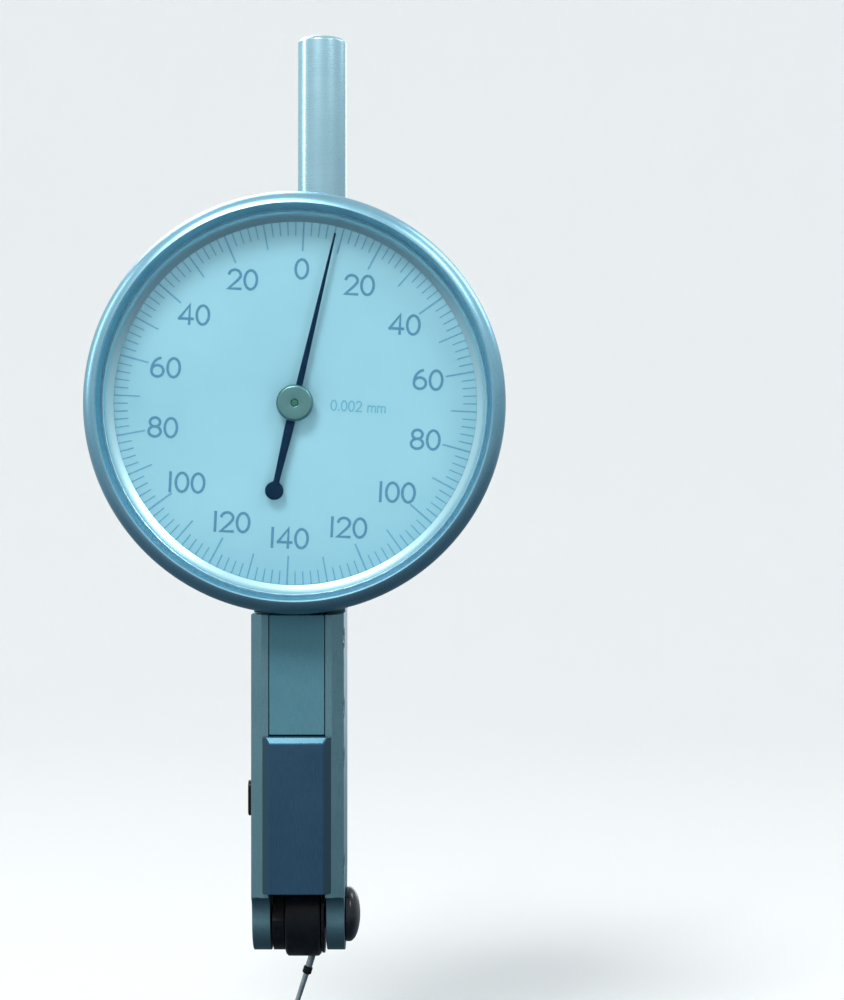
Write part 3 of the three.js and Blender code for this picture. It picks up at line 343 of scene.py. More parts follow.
def turned_chrome(name, axis, centre, dark, light, roughness, bore=0.0, bore_tone=None):
    """Satin chrome from the lathe: fine rings, a cloudy tone and another tone in the bore."""
    finish = Finish(name)
    rings_at, radius = finish.around(axis, in_part(*centre))
    rings = finish.grain(26000, 2, 0.6, rings_at)
    cloud = finish.grain(300, 4)
    specks = finish.grain(5200, 2, shift=0.3)
    tone = cloud * 0.25 + rings * 0.45 + specks * 0.3
    colour = finish.blend(tone.spread(0.3, 0.7), dark, light)
    if bore_tone:
        inside = 1 - radius.spread(bore / 1000 - tone_edge, bore / 1000)
        colour = finish.blend(inside, colour, bore_tone)
    finish.lay(colour, rings * 0.1 + cloud * 0.06 + (roughness - 0.08), 1.0,
               rings * 0.7 + specks * 0.3, 0.0000022)
    return finish


dial_axis = (0, 0)
bezel_radius, bezel_groove, bezel_back = 20.0, 19.86, 6.8
knurls, knurl_depth = 180, 0.16
bezel_profile = [
    (18.5, 0.62), (18.58, 0.2), (18.64, 0.04), (18.78, 0.0), (18.98, 0.05), (19.25, 0.2),
    (19.52, 0.43), (19.75, 0.72), (19.91, 1.04), (bezel_radius, 1.38), (bezel_groove, 1.5),
    (bezel_groove, 1.62), (bezel_radius, 1.72), (bezel_radius, 1.9, knurl_depth),
    (bezel_radius, 3.5, knurl_depth), (bezel_radius, 5.1, knurl_depth), (bezel_radius, 5.28),
    (bezel_groove, 5.38), (bezel_groove, 5.5), (bezel_radius, 5.62), (bezel_radius, 6.25),
    (19.5, bezel_back), (18.45, bezel_back), (18.45, 5.9), (18.85, 5.9), (18.85, 5.2),
    (18.45, 5.2), (18.45, 3.52), (18.1, 3.5), (18.1, 2.96), (17.38, 2.95), (17.32, 2.92),
    (17.33, 2.86), (17.7, 2.6), (18.05, 2.34), (18.09, 2.28), (18.1, 1.8), (18.14, 1.75),
    (18.22, 1.7),
]
bezel_chrome = turned_chrome("bezel_satin_chrome", "Y", (0, 0, 0), ink(116, 166, 190),
                             ink(146, 196, 214), 0.32, 18.35, ink(200, 238, 248))
placed("bezel_ring", turned("Y", dial_axis, bezel_profile, knurls * 4, knurls), bezel_chrome,
       "bezel_group", ["bezel"], 28)

# Crystal: a clear acrylic window with a slight dome, snapped in from behind against
# the lip of the bezel, with a dark soft seal pressed in behind it.
crystal_front, crystal_dome, crystal_radius, dome_steps = 0.5, 0.26, 18.3, 12
crystal_profile = [(0.0, crystal_front)]
for step in range(1, dome_steps + 1):
    share = step / dome_steps
    crystal_profile.append((crystal_radius * share, crystal_front + crystal_dome * share * share))
crystal_profile += [(18.4, 0.82), (18.4, 0.92), (18.27, 1.36), (18.22, 1.4), (0.0, 1.4)]
acrylic = Finish("clear_acrylic")
scuffs = acrylic.grain(2600, 6, 0.7)
haze = acrylic.grain(180)
clear = acrylic.node("BsdfTransparent", {}, {"Color": (0.975, 0.995, 1.0, 1)})
gloss_bump = acrylic.node("Bump", {}, {"Strength": 1.0, "Distance": 0.0000006, "Height": scuffs})
gloss = acrylic.node("BsdfGlossy", {}, {
    "Color": (0.95, 0.99, 1.0, 1), "Roughness": haze * 0.05 + 0.03, "Normal": gloss_bump})
edge_on = acrylic.node("LayerWeight", {}, {"Blend": 0.5}, "Facing")
shine = (edge_on ** 5) * 0.4 + 0.003 + scuffs.spread(0.55, 0.8) * 0.003
acrylic.show(acrylic.node("MixShader", {}, {0: shine, 1: clear, 2: gloss}))
placed("crystal_window", turned("Y", dial_axis, crystal_profile, 180), acrylic, "bezel_group",
       ["crystal"], 40)


def dressed(nodes, finish):
    """Gives a finish to pieces whose CAD shape stays as it is."""
    for name in nodes:
        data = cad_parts[name].data
        data.materials.clear()
        data.materials.append(finish.owner)


seal_rubber = Finish("seal_rubber")
rubber_cloud = seal_rubber.grain(900, 4)
seal_rubber.lay(seal_rubber.blend(rubber_cloud, ink(84, 122, 142), ink(104, 144, 164)),
                rubber_cloud * 0.2 + 0.6, 0.0, seal_rubber.grain(7000, 2), 0.000004)
dressed(["crystal_seal"], seal_rubber)

# Dial: a thin aluminium disc sprayed pale blue-grey and printed with 140 divisions,
# numbered at every tenth one both ways from the zero, and turned a little with the
# bezel. The print is a thin film of ink that stands on the paint.


def bent(start, corner, end, t):
    """A point of the round from start to end, which bends towards the corner."""
    return start * (1 - t) ** 2 + corner * 2 * t * (1 - t) + end * t * t


def rounded(corners, size, steps=3, closed=True):
    """Breaks each corner of a lathe profile of (radius, along) with a small round."""
    most_of_edge = 0.45
    out = []
    for i, corner in enumerate(corners):
        if not closed and i in (0, len(corners) - 1):
            out.append(corner)
            continue
        here = Vector(corner)
        back = Vector(corners[i - 1]) - here
        ahead = Vector(corners[(i + 1) % len(corners)]) - here
        reach = min(size, back.length * most_of_edge, ahead.length * most_of_edge)
        start = here + back.normalized() * reach
        end = here + ahead.normalized() * reach
        out += [tuple(bent(start, here, end, n / steps)) for n in range(steps + 1)]
    return out


dial_paint = Finish("dial_paint")
paint_cloud = dial_paint.grain(70, 4)
paint_peel = dial_paint.grain(3800)
paint_dust = dial_paint.grain(9000, 1, shift=0.2)
dial_colour = dial_paint.blend(paint_cloud.spread(0.3, 0.7), ink(131, 179, 194),
                               ink(139, 187, 201))
dial_colour = dial_paint.blend(paint_dust.spread(0.66, 0.8) * 0.5, dial_colour, ink(137, 183, 201))
dial_paint.lay(dial_colour, paint_peel * 0.15 + 0.42, 0.0, paint_peel, 0.0000016)
dial_hole, dial_radius, dial_front, dial_back = 1.0, 18.0, 3.0, 3.5
dial_profile = rounded([(dial_hole, dial_front), (dial_radius, dial_front),
                        (dial_radius, dial_back), (dial_hole, dial_back)], 0.08)
placed("dial_disc", turned("Y", dial_axis, dial_profile, 240), dial_paint, "bezel_group",
       ["dial_plate"], 40)

dial_turn = math.radians(2.7)
ink_lift, ink_sunk = 0.014, 0.01
ink_layers, ink_layer = 5, 0.002


def inked(name, strips, colour_low, colour_high):
    """Prints strips on the dial; each one is a list of left and a list of right edge points.

    Neighbours differ a little in thickness, so that no two faces lie in one plane where
    strokes cross."""
    film = bmesh.new()
    ink_back = dial_front + ink_sunk
    for number, (left, right) in enumerate(strips):
        front = dial_front - ink_lift - number % ink_layers * ink_layer
        ring_closed = math.dist(left[0], left[-1]) < same_spot
        count = len(left) - ring_closed
        edges = ((left, front), (right, front), (right, ink_back), (left, ink_back))
        sides = [[film.verts.new((x, y, z)) for x, z in edge[:count]] for edge, y in edges]
        for i in range(count if ring_closed else count - 1):
            j = (i + 1) % count
            for side, after in zip(sides, sides[1:] + sides[:1]):
                film.faces.new((side[i], side[j], after[j], after[i]))
        if not ring_closed:
            for i in (0, -1):
                film.faces.new([side[i] for side in sides])
    bmesh.ops.recalc_face_normals(film, faces=film.faces)
    print_ink = Finish(name + "_ink")
    patch = print_ink.grain(6500)
    print_ink.lay(print_ink.blend(patch.spread(0.35, 0.65), colour_low, colour_high),
                  patch * 0.2 + 0.4, 0.0, patch, 0.000002)
    placed(name, film, print_ink, "bezel_group", [])


def dial_point(radius, angle, across=0.0, up=0.0):
    """A point of the dial at a clockwise angle from the top, with a step sideways and up."""
    turn = angle + dial_turn
    x, z = radius * math.sin(turn), radius * math.cos(turn)
    side, rise = math.cos(dial_turn), math.sin(dial_turn)
    return (x + across * side + up * rise, z + up * side - across * rise)


divisions, tick_end = 140, 17.52
# Each kind of line comes at every so many divisions, with its inner end and half width.
tick_kinds = ((10, 14.55, 0.085), (5, 14.85, 0.07), (1, 16.0, 0.055))
tick_strips = []
for index in range(divisions):
    angle = math.tau * index / divisions
    start, half = next(kind[1:] for kind in tick_kinds if index % kind[0] == 0)
    tick_strips.append([[dial_point(radius, angle + side / radius)
                         for radius in (start, (start + tick_end) / 2, tick_end)]
                        for side in (-half, half)])
inked("dial_ticks", tick_strips, ink(82, 140, 168), ink(98, 156, 182))


def arc(cx, cz, rx, rz, begin, end, steps):
    """A bow of a figure, clockwise from begin to end in degrees from the top."""
    turns = [math.radians(begin + (end - begin) * i / steps) for i in range(steps + 1)]
    return [(cx + rx * math.sin(turn), cz + rz * math.cos(turn)) for turn in turns]


# The strokes of the figures stand in a box one unit high; the first value is the width.
figures = {
    "0": (0.54, [arc(0.27, 0.5, 0.27, 0.5, 0, 360, 32)]),
    "1": (0.16, [[(0.08, 1.0), (0.08, 0.0)]]),
    "2": (0.54, [arc(0.27, 0.72, 0.26, 0.28, -78, 112, 16)
                 + [(0.38, 0.42), (0.01, 0.0), (0.54, 0.0)]]),
    "4": (0.60, [[(0.45, 0.0), (0.45, 1.0), (0.0, 0.27)], [(0.0, 0.27), (0.60, 0.27)]]),
    "6": (0.54, [arc(0.27, 0.30, 0.265, 0.30, 0, 360, 28),
                 arc(0.47, 0.34, 0.462, 0.66, -86, -12, 10)]),
    "8": (0.54, [arc(0.27, 0.76, 0.225, 0.24, 180, 540, 24),
                 arc(0.27, 0.265, 0.265, 0.265, 0, 360, 26)]),
    "m": (0.78, [[(0.0, 0.0), (0.0, 0.62)],
                 [(0.0, 0.42)] + arc(0.20, 0.43, 0.18, 0.18, -80, 90, 8) + [(0.38, 0.0)],
                 [(0.38, 0.42)] + arc(0.58, 0.43, 0.18, 0.18, -80, 90, 8) + [(0.76, 0.0)]]),
    ".": (0.10, [[(0.05, 0.0), (0.05, 0.09)]]),
    " ": (0.25, []),
}


def written(text, radius, angle, height, half, gap, broad=1.0):
    """Strips for one word or number, centred on a place of the dial.

    half is half a stroke's width, gap the space between letters, and broad widens them."""
    end_reach, sharpest = 0.8, 0.5
    length = sum(figures[c][0] for c in text) + gap * (len(text) - 1)
    pen = -length / 2
    strips = []
    for letter in text:
        width, strokes = figures[letter]
        for stroke in strokes:
            points = [Vector(((pen + x) * height * broad, (z - 0.5) * height)) for x, z in stroke]
            ring_closed = (points[0] - points[-1]).length < same_spot
            left, right = [], []
            for i, point in enumerate(points):
                before = points[i - 1] if i else (points[-2] if ring_closed else None)
                after = (points[i + 1] if i < len(points) - 1
                         else (points[1] if ring_closed else None))
                into = (point - before).normalized() if before is not None else None
                out = (after - point).normalized() if after is not None else None
                way = (into or out) + (out or into)
                way.normalize()
                stretch = 1.0
                if into is None:
                    point = point - way * half * end_reach
                elif out is None:
                    point = point + way * half * end_reach
                else:
                    stretch = 1 / max(sharpest, math.sqrt(max(0.0, (1 + into.dot(out)) / 2)))
                normal = Vector((-way.y, way.x)) * half * stretch
                left.append(dial_point(radius, angle, *(point + normal)))
                right.append(dial_point(radius, angle, *(point - normal)))
            strips.append((left, right))
        pen += width + gap
    return strips


numbers, number_step = 14, 20
number_strips = []
for index in range(numbers):
    value = min(index, numbers - index) * number_step
    number_strips += written(str(value), 12.85, math.tau * index / numbers, 1.8, 0.13, 0.17, 1.2)
inked("dial_numbers", number_strips, ink(60, 117, 146), ink(76, 133, 162))
inked("dial_unit_words", written("0.002 mm", 6.0, math.radians(90), 0.95, 0.07, 0.2),
      ink(84, 148, 172), ink(102, 166, 188))

# Pointer: a thin blued steel blade with a faint crease, and a balance tail that ends
# in a small disc. A turned hub disc grips it and is pressed on the bronze centre
# arbor, whose end shows in the middle.


def lined_metal(name, dark, light, cloud, lines, gloss, metal, depth, lightest=0.7, **fixed):
    """Steel or brass with a cloudy tone and fine lines.

    cloud is the clouds' scale and detail, and gloss the roughness and what the lines add."""
    finish = Finish(name)
    clouds = finish.grain(*cloud)
    fine = finish.grain(lines, 2)
    finish.lay(finish.blend(clouds.spread(0.3, lightest), dark, light),
               fine * gloss[1] + gloss[0], metal, fine, depth, **fixed)
    return finish


blued_steel = lined_metal("blued_steel", ink(2, 28, 52), ink(5, 38, 64), (900, 3), 12000,
                          (0.34, 0.16), 0.0, 0.000001, Specular_IOR_Level=0.06)
pointer_turn = math.radians(13.3)
pointer_front, pointer_back, pointer_crease = 2.12, 2.32, 0.06
blade_start, blade_reach, blade_steps = 0.8, 15.8, 30
tail_reach, tail_steps = 8.64, 72
tail_disc, tail_disc_radius = 8.55, 0.88


def blade_half(u):
    """Half width of the pointer at a distance from its middle, tail on the minus side."""
    if u >= 0:
        share = min(1.0, max(0.0, (u - 1.3) / 15.3))
        return 0.32 * (1 - share) + 0.085 * share
    off_disc = (-u - tail_disc) / tail_disc_radius
    disc = tail_disc_radius * math.sqrt(max(0.0, 1 - off_disc ** 2))
    share = -u / tail_disc
    neck = 0.43 - 0.15 * min(1.0, max(0.0, share - 0.3) / 0.6)
    return max(neck if share < 1 else 0.02, disc)


blade = bmesh.new()
for sections in ([blade_start + blade_reach * i / blade_steps for i in range(blade_steps + 1)],
                 [-blade_start - tail_reach * i / tail_steps for i in range(tail_steps + 1)]):
    ribs = []
    for u in sections:
        half = blade_half(u)
        crease = min(pointer_crease, half * 0.3)
        cross = [(-half, pointer_back), (-half, pointer_front + crease), (0.0, pointer_front),
                 (half, pointer_front + crease), (half, pointer_back)]
        ribs.append([blade.verts.new((
            u * math.sin(pointer_turn) + across * math.cos(pointer_turn), y,
            u * math.cos(pointer_turn) - across * math.sin(pointer_turn))) for across, y in cross])
    for first, second in zip(ribs, ribs[1:]):
        for i in range(len(first)):
            j = (i + 1) % len(first)
            blade.faces.new((first[i], first[j], second[j], second[i]))
    blade.faces.new(ribs[0])
    blade.faces.new(list(reversed(ribs[-1])))
bmesh.ops.recalc_face_normals(blade, faces=blade.faces)
eye_profile = rounded([(0.69, 2.13), (1.3, 2.13), (1.3, 2.31), (0.69, 2.31)], 0.04, 2)
eye = mesh_of("pointer_eye", turned("Y", dial_axis, eye_profile, 48))
blade.from_mesh(eye)
bpy.data.meshes.remove(eye)
placed("pointer_blade", blade, blued_steel, "pointer_group", ["pointer"], 20)

hub_radius, hub_front, hub_bore = 1.757, 1.66, 0.33
hub_profile = rounded([
    (hub_bore, 1.72), (0.39, hub_front), (1.56, hub_front), (hub_radius, 1.82),
    (hub_radius, 2.03), (1.72, 2.07), (0.65, 2.07), (0.65, 2.6), (hub_bore, 2.6)], 0.06)
hub_metal = turned_chrome("hub_satin_metal", "Y", (0, 0, 0), ink(98, 143, 143),
                          ink(122, 166, 165), 0.32)
placed("pointer_hub_disc", turned("Y", dial_axis, hub_profile, 96), hub_metal, "pointer_group",
       ["pointer_hub"])

arbor_bronze = Finish("arbor_bronze")
arbor_cloud = arbor_bronze.grain(1600)
arbor_bronze.lay(arbor_bronze.blend(arbor_cloud.spread(0.3, 0.7), ink(70, 126, 106),
                                    ink(88, 146, 124)),
                 arbor_cloud * 0.14 + 0.3, 1.0, arbor_bronze.grain(20000, 2), 0.0000008)
dressed(["centre_arbor"], arbor_bronze)
tip_profile = [(0.0, 1.63), (0.16, 1.64), (0.26, 1.67), (0.32, 1.72), (0.32, 1.8), (0.0, 1.8)]
placed("arbor_end", turned("Y", dial_axis, tip_profile, 32), arbor_bronze, "pointer_group", [],
       40)

# Case: a cup turned from brass and plated, screwed to the front of the body; the
# bezel runs on its wall, held by a snap ring, and a slot in its floor lets the crown
# wheel and the long lever reach the centre pinion.


def on_bench(blank):
    """Lays a blank on the bench as an object, to be worked with modifiers."""
    return set_out("blank", mesh_of("blank", blank))


def off_bench(work, *cutters):
    """Takes the worked blank up again and clears the bench."""
    depsgraph = bpy.context.evaluated_depsgraph_get()
    shaped = bpy.data.meshes.new_from_object(work.evaluated_get(depsgraph))
    out = bmesh.new()
    out.from_mesh(shaped)
    bpy.data.meshes.remove(shaped)
    for item in (work, *cutters):
        data = item.data
        bpy.data.objects.remove(item)
        bpy.data.meshes.remove(data)
    return out


def carved(blank, *tools, operation="DIFFERENCE"):
    """Mills the tools out of a blank, or welds them on with UNION."""
    joined_within, flat_within = 1e-4, math.radians(0.4)
    work = on_bench(blank)
    cutters = [on_bench(tool) for tool in tools]
    for cutter in cutters:
        cut = work.modifiers.new("cut", "BOOLEAN")
        cut.object = cutter
        cut.operation = operation
        cut.solver = "EXACT"
    out = off_bench(work, *cutters)
    bmesh.ops.remove_doubles(out, verts=out.verts, dist=joined_within)
    bmesh.ops.dissolve_limit(out, angle_limit=flat_within, verts=out.verts, edges=out.edges)
    return out


def block(x_range, y_range, z_range):
    """A squared blank between three pairs of limits."""
    out = bmesh.new()
    bmesh.ops.create_cube(out, size=1)
    for vert in out.verts:
        vert.co = Vector([(low + high) / 2 + place * (high - low) for place, (low, high)
                          in zip(vert.co, (x_range, y_range, z_range))])
    return out


def drilled(axis, centre, radius, low, high, steps=40):
    """A plain cutter for a hole along an axis."""
    return turned(axis, centre, [(0, low), (radius, low), (radius, high), (0, high)], steps)


slot_half, pillar_x = 2.72, 10.5
case_wall, floor_front, floor_back = 17.4, 8.7, 9.6
case_profile = [(0.0, floor_front), (case_wall, floor_front)] + rounded([
    (case_wall, 3.65), (18.3, 3.65), (18.3, 5.2), (17.9, 5.2), (17.9, 5.9), (18.3, 5.9),
    (18.3, 7.05), (19.6, 7.05), (19.6, 9.2), (19.2, floor_back), (18.0, floor_back),
    (17.9, 9.46), (17.6, 9.46), (17.5, floor_back), (0.0, floor_back)], 0.12, 2, closed=False)
case_window = block((-slot_half, slot_half), (8.0, 10.0), (-18.6, 5.0))
pillars = [drilled("Y", (x, 0), 1.5, 4.75, 9.0, 32) for x in (-pillar_x, pillar_x)]
case_cup = carved(turned("Y", dial_axis, case_profile, 180), case_window)
case_cup = carved(case_cup, *pillars, operation="UNION")
case_chrome = turned_chrome("case_satin_chrome", "Y", (0, 0, 0), ink(92, 132, 150),
                            ink(124, 162, 178), 0.36)
placed("case_cup", case_cup, case_chrome, "frame", ["dial_case"])
bright_steel = lined_metal("bright_steel", ink(132, 142, 148), ink(170, 180, 184), (700, 3),
                           16000, (0.2, 0.16), 1.0, 0.0000012)
dressed(["bezel_spring", "case_screw_1", "case_screw_2", "case_screw_3", "case_screw_4"],
        bright_steel)

# Movement: brass bridges with ruby bearings carry the centre arbor, a bronze
# hairspring takes up the backlash, and small steel screws hold the bridges.
lapped_brass = lined_metal("lapped_brass", ink(168, 136, 74), ink(204, 172, 104), (600, 4),
                           15000, (0.24, 0.18), 1.0, 0.0000014)
dressed(["front_bridge", "rear_bridge", "hairspring_collet", "hairspring_stud", "crown_wheel"],
        lapped_brass)
ruby = Finish("ruby_bearing")
ruby_cloud = ruby.grain(2400)
ruby.lay(ruby.blend(ruby_cloud, ink(120, 8, 30), ink(176, 22, 52)), ruby_cloud * 0.06 + 0.06,
         Coat_Weight=0.5)
dressed(["jewel_front", "jewel_rear", "jewel_left", "jewel_right"], ruby)
spring_bronze = Finish("spring_bronze")
bronze_cloud = spring_bronze.grain(1500)
spring_bronze.lay(spring_bronze.blend(bronze_cloud, ink(150, 104, 60), ink(190, 140, 88)),
                  bronze_cloud * 0.15 + 0.25, 1.0, spring_bronze.grain(18000, 2), 0.000001)
dressed(["hairspring"], spring_bronze)
dressed(["bridge_screw_1", "bridge_screw_2", "rear_bridge_screw_1", "rear_bridge_screw_2",
         "intermediate_arbor"], bright_steel)

# Body: one bar of steel, milled hollow from the front and open at the lower end,
# where its walls run out into two round cheeks, with a dovetail rail behind; satin
# chromed all over.
body_half, body_front, body_back, body_chamfer = 4.5, 5.0, 15.5, 1.1
neck_front, body_top, shoulder, cheek_top = 9.65, 17.0, -20.25, -47.6
pivot = (10.7, -50.2)
pivot_y, pivot_z = pivot
cheek_radius, bend_steps, cheek_steps = 3.5, 8, 36


def softened(blank, width, segments=2, angle=38):
    """Breaks the sharp edges of a blank with a small round."""
    work = on_bench(blank)
    edge = work.modifiers.new("edge", "BEVEL")
    edge.width = width
    edge.segments = segments
    edge.limit_method = "ANGLE"
    edge.angle_limit = math.radians(angle)
    edge.use_clamp_overlap = False
    return off_bench(work)


def extruded(outline, axis, low, high):
    """A bar with a given outline; axis is the way it runs, and the outline has the other two."""
    out = bmesh.new()
    start, end = [[out.verts.new(on_axis(axis, level, a, b)) for a, b in outline]
                  for level in (low, high)]
    for i in range(len(outline)):
        j = (i + 1) % len(outline)
        out.faces.new((start[i], start[j], end[j], end[i]))
    out.faces.new(list(reversed(start)))
    out.faces.new(end)
    bmesh.ops.recalc_face_normals(out, faces=out.faces)
    return out


def bevelled(half, front, back, bevel):
    """The section of a bar with its two front edges bevelled."""
    return [(-half, back), (-half, front + bevel), (-half + bevel, front),
            (half - bevel, front), (half, front + bevel), (half, back)]


def dovetail(neck, foot, root, top, low, high):
    """A rail along Z, neck wide each way at its root and foot wide each way at its top."""
    return extruded([(-neck, root), (neck, root), (foot, top), (-foot, top)], "Z", low, high)


side_outline = [(neck_front, body_top), (neck_front, shoulder), (body_front, shoulder),
                (body_front, cheek_top)]
cheek_front = pivot_y - cheek_radius
for step in range(1, bend_steps + 1):
    t = step / bend_steps
    side_outline.append((bent(body_front, cheek_front, cheek_front, t),
                         bent(cheek_top, cheek_top, pivot_z, t)))
for step in range(1, cheek_steps + 1):
    angle = math.pi + math.pi * step / cheek_steps
    side_outline.append((pivot_y + cheek_radius * math.cos(angle),
                         pivot_z + cheek_radius * math.sin(angle)))
side_outline += [(body_back, -45.5), (body_back, body_top)]
body_bar = carved(
    extruded(side_outline, "X", -body_half, body_half),
    extruded(bevelled(body_half, body_front, body_back, body_chamfer), "Z", -56, 20),
    operation="INTERSECT")
body_bar = carved(body_bar, dovetail(2.6, 3.3, 15.3, 17.5, -16, 4.5), operation="UNION")
cover_screw_y = 7.1
cover_screw_heights = (-22.7, -29.5, -34.3, -44.7)
recess = (8.6, -38.4)
recess_radius, recess_depth, spindle_bore = 2.1, 0.5, 0.95
channel = block((-slot_half, slot_half), (4.0, 14.6), (-55, 6))
gap_of_cheeks = block((-slot_half, slot_half), (4.0, 16.5), (-55, -45.0))
pivot_bore = drilled("X", pivot, 1.35, -5, 5)
tab_recess = drilled("X", recess, recess_radius, -5, -body_half + recess_depth, 56)
tab_bore = drilled("X", recess, spindle_bore, -4.4, -2.0, 32)
head_sinks = [drilled("X", (cover_screw_y, z), 1.05, 3.9, 5, 36) for z in cover_screw_heights]
body_bar = carved(body_bar, channel, gap_of_cheeks, pivot_bore, tab_recess, tab_bore, *head_sinks)
body_bar = softened(body_bar, 0.08, 2, 33)


def milled_chrome(name, dark, light, roughness, face=0.0, bevel_tone=None):
    """Satin chrome on milled steel: fine grain along Z, soft clouds, and another tone for
    bevels that lie behind a face, which is given in millimetres."""
    finish = Finish(name)
    stretched = finish.node("VectorMath", {"operation": "MULTIPLY"}, {
        0: finish.spot, 1: (1, 1, 0.06)})
    strokes = finish.grain(14000, 2, 0.6, stretched)
    cloud = finish.grain(220, 4)
    specks = finish.grain(7000, 2, shift=0.4)
    tone = cloud * 0.25 + strokes * 0.45 + specks * 0.3
    colour = finish.blend(tone.spread(0.32, 0.68), dark, light)
    if bevel_tone:
        start = in_part(0, face, 0)[1]
        depth = finish.node("SeparateXYZ", {}, {0: finish.spot}, "Y")
        colour = finish.blend(depth.spread(start, start + tone_edge), colour, bevel_tone)
    finish.lay(colour, strokes * 0.1 + cloud * 0.08 + (roughness - 0.09), 1.0,
               strokes * 0.5 + specks * 0.5, 0.0000024)
    return finish


body_chrome = milled_chrome("body_satin_chrome", ink(96, 135, 146), ink(121, 160, 171), 0.5)
placed("body_bar", body_bar, body_chrome, "frame", ["body_frame"], weighted=True)

# Covers: a flush plate closes the upper half of the channel and a raised block with
# bevelled edges the lower half. Two blackened screws through the right wall hold each
# of them by its lugs.
cover_half, cover_front, cover_back = 2.67, 5.0, 6.1
lug_half, lug_back = 1, 8.1


def with_lugs(cover, heights, *tongues):
    """Welds the lugs on the back of a cover, and drills them for its screws."""
    lugs = [block((0, cover_half), (6.0, lug_back), (z - lug_half, z + lug_half)) for z in heights]
    holes = [drilled("X", (cover_screw_y, z), 0.55, -0.5, 3.2, 24) for z in heights]
    return carved(carved(cover, *tongues, *lugs, operation="UNION"), *holes)


upper_plate = block((-cover_half, cover_half), (cover_front, cover_back), (-31.85, -20.3))
upper_plate = with_lugs(softened(upper_plate, 0.09), cover_screw_heights[:2])
plate_chrome = milled_chrome("plate_satin_chrome", ink(91, 141, 156), ink(112, 163, 178), 0.66)
placed("upper_plate", upper_plate, plate_chrome, "frame", ["upper_cover"],
       weighted=True)

block_half, block_front, block_back, block_bevel = 3.3, 4.0, 4.95, 0.7
block_top, block_bottom = -31.95, -47.1
block_side = [(block_back, block_top), (4.35, block_top), (block_front, -32.6),
              (block_front, block_bottom), (block_back, block_bottom)]
raised_block = carved(
    extruded(bevelled(block_half, block_front, block_back, block_bevel), "Z", block_bottom, -31.9),
    extruded(block_side, "X", -body_half, body_half), operation="INTERSECT")
tongue = block((-cover_half, cover_half), (4.9, cover_back), (-47.05, block_top))
raised_block = with_lugs(softened(raised_block, 0.12, 3, 20), cover_screw_heights[2:], tongue)
dark_chrome = milled_chrome("block_dark_chrome", ink(52, 86, 112), ink(70, 104, 130), 0.34,
                            block_front + 0.03, ink(64, 96, 110))
placed("raised_block", raised_block, dark_chrome, "frame", ["front_cover"], 25,
       weighted=True)

black_oxide = lined_metal("black_oxide", ink(3, 6, 11), ink(10, 17, 25), (1100, 4), 11000,
                          (0.26, 0.16), 0.0, 0.0000018, 0.75, Specular_IOR_Level=0.16)


def slot_mill(x_range, y, z, reach, width, turn):
    """A cutter for the slot of a screw that runs along X."""
    mill = block(x_range, (y - reach, y + reach), (z - width / 2, z + width / 2))
    bmesh.ops.rotate(mill, verts=mill.verts, cent=(0, y, z), matrix=Matrix.Rotation(turn, 3, "X"))
    return mill


screw_tip, screw_seat, screw_top = 0.2, 3.95, 4.44
screw_shank, screw_radius, screw_slot_depth = 0.5, 0.95, 0.24
screw_profile = [(0, screw_tip)] + rounded([
    (screw_shank, screw_tip), (screw_shank, screw_seat), (screw_radius, screw_seat),
    (screw_radius, screw_top), (0, screw_top)], 0.07, closed=False)
random.seed(7)
for number, height in enumerate(cover_screw_heights, 1):
    screw_slot = slot_mill((screw_top - screw_slot_depth, screw_top + 1), cover_screw_y, height,
                           screw_radius + 1, 0.28, random.uniform(-1.2, 1.2))
    screw_blank = turned("X", (cover_screw_y, height), screw_profile, 48)
    placed(f"cover_screw_head_{number}", carved(screw_blank, screw_slot), black_oxide, "frame",
           [f"cover_screw_{number}"])

# Lever train: the long blackened lever swings on two pivot screws in the cheeks, and
# its toothed head turns the crown wheel's arbor. A spring of ground steel, held by a
# screw, presses on it.
ground_steel = lined_metal("ground_steel", ink(104, 118, 126), ink(142, 156, 162), (500, 3),
                           13000, (0.26, 0.2), 1.0, 0.0000016)
dressed(["lever_spring", "spring_screw"], ground_steel)
dressed(["sector_lever"], black_oxide)

# Pivot screws: a blackened screw with a domed polished head at the right cheek, and
# a slotted grub screw flush with the left one, whose tips carry the lever.
domed_radius, domed_foot, domed_rise, domed_steps = 2.7, 4.9, 1.05, 10
domed_profile = [(0.0, 0.4), (0.8, 0.4), (0.8, 2.77), (1.25, 2.77), (1.25, 4.55), (2.62, 4.55),
                 (domed_radius, 4.63)]
for step in range(domed_steps + 1):
    angle = math.radians(90) * step / domed_steps
    domed_profile.append((domed_radius * math.cos(angle),
                          domed_foot + domed_rise * math.sin(angle)))
domed_black = Finish("domed_black_oxide")
domed_cloud = domed_black.grain(900, 4)
domed_rings_at = domed_black.around("X", in_part(-dial_x, *pivot))[0]
domed_rings = domed_black.grain(20000, 2, 0.6, domed_rings_at)
domed_black.lay(domed_black.blend(domed_cloud.spread(0.3, 0.75), ink(5, 13, 20), ink(16, 27, 35)),
                domed_rings * 0.14 + 0.16, 0.3, domed_rings, 0.000001)
domed_screw = carved(turned("X", pivot, domed_profile, 72),
                     slot_mill((5.35, 7.0), pivot_y, pivot_z, 3.2, 0.44, math.radians(66)))
placed("domed_pivot_screw", domed_screw, domed_black, "frame", ["pivot_screw_right"],
       35)
grub_profile = rounded([(0.0, -4.5), (1.25, -4.5), (1.25, -2.77), (0.8, -2.77), (0.8, -1.95),
                        (0.0, -1.95)], 0.08, closed=False)
grub_screw = carved(turned("X", pivot, grub_profile, 56),
                    slot_mill((-5, -3.9), pivot_y, pivot_z, 1.6, 0.36, 0.0))
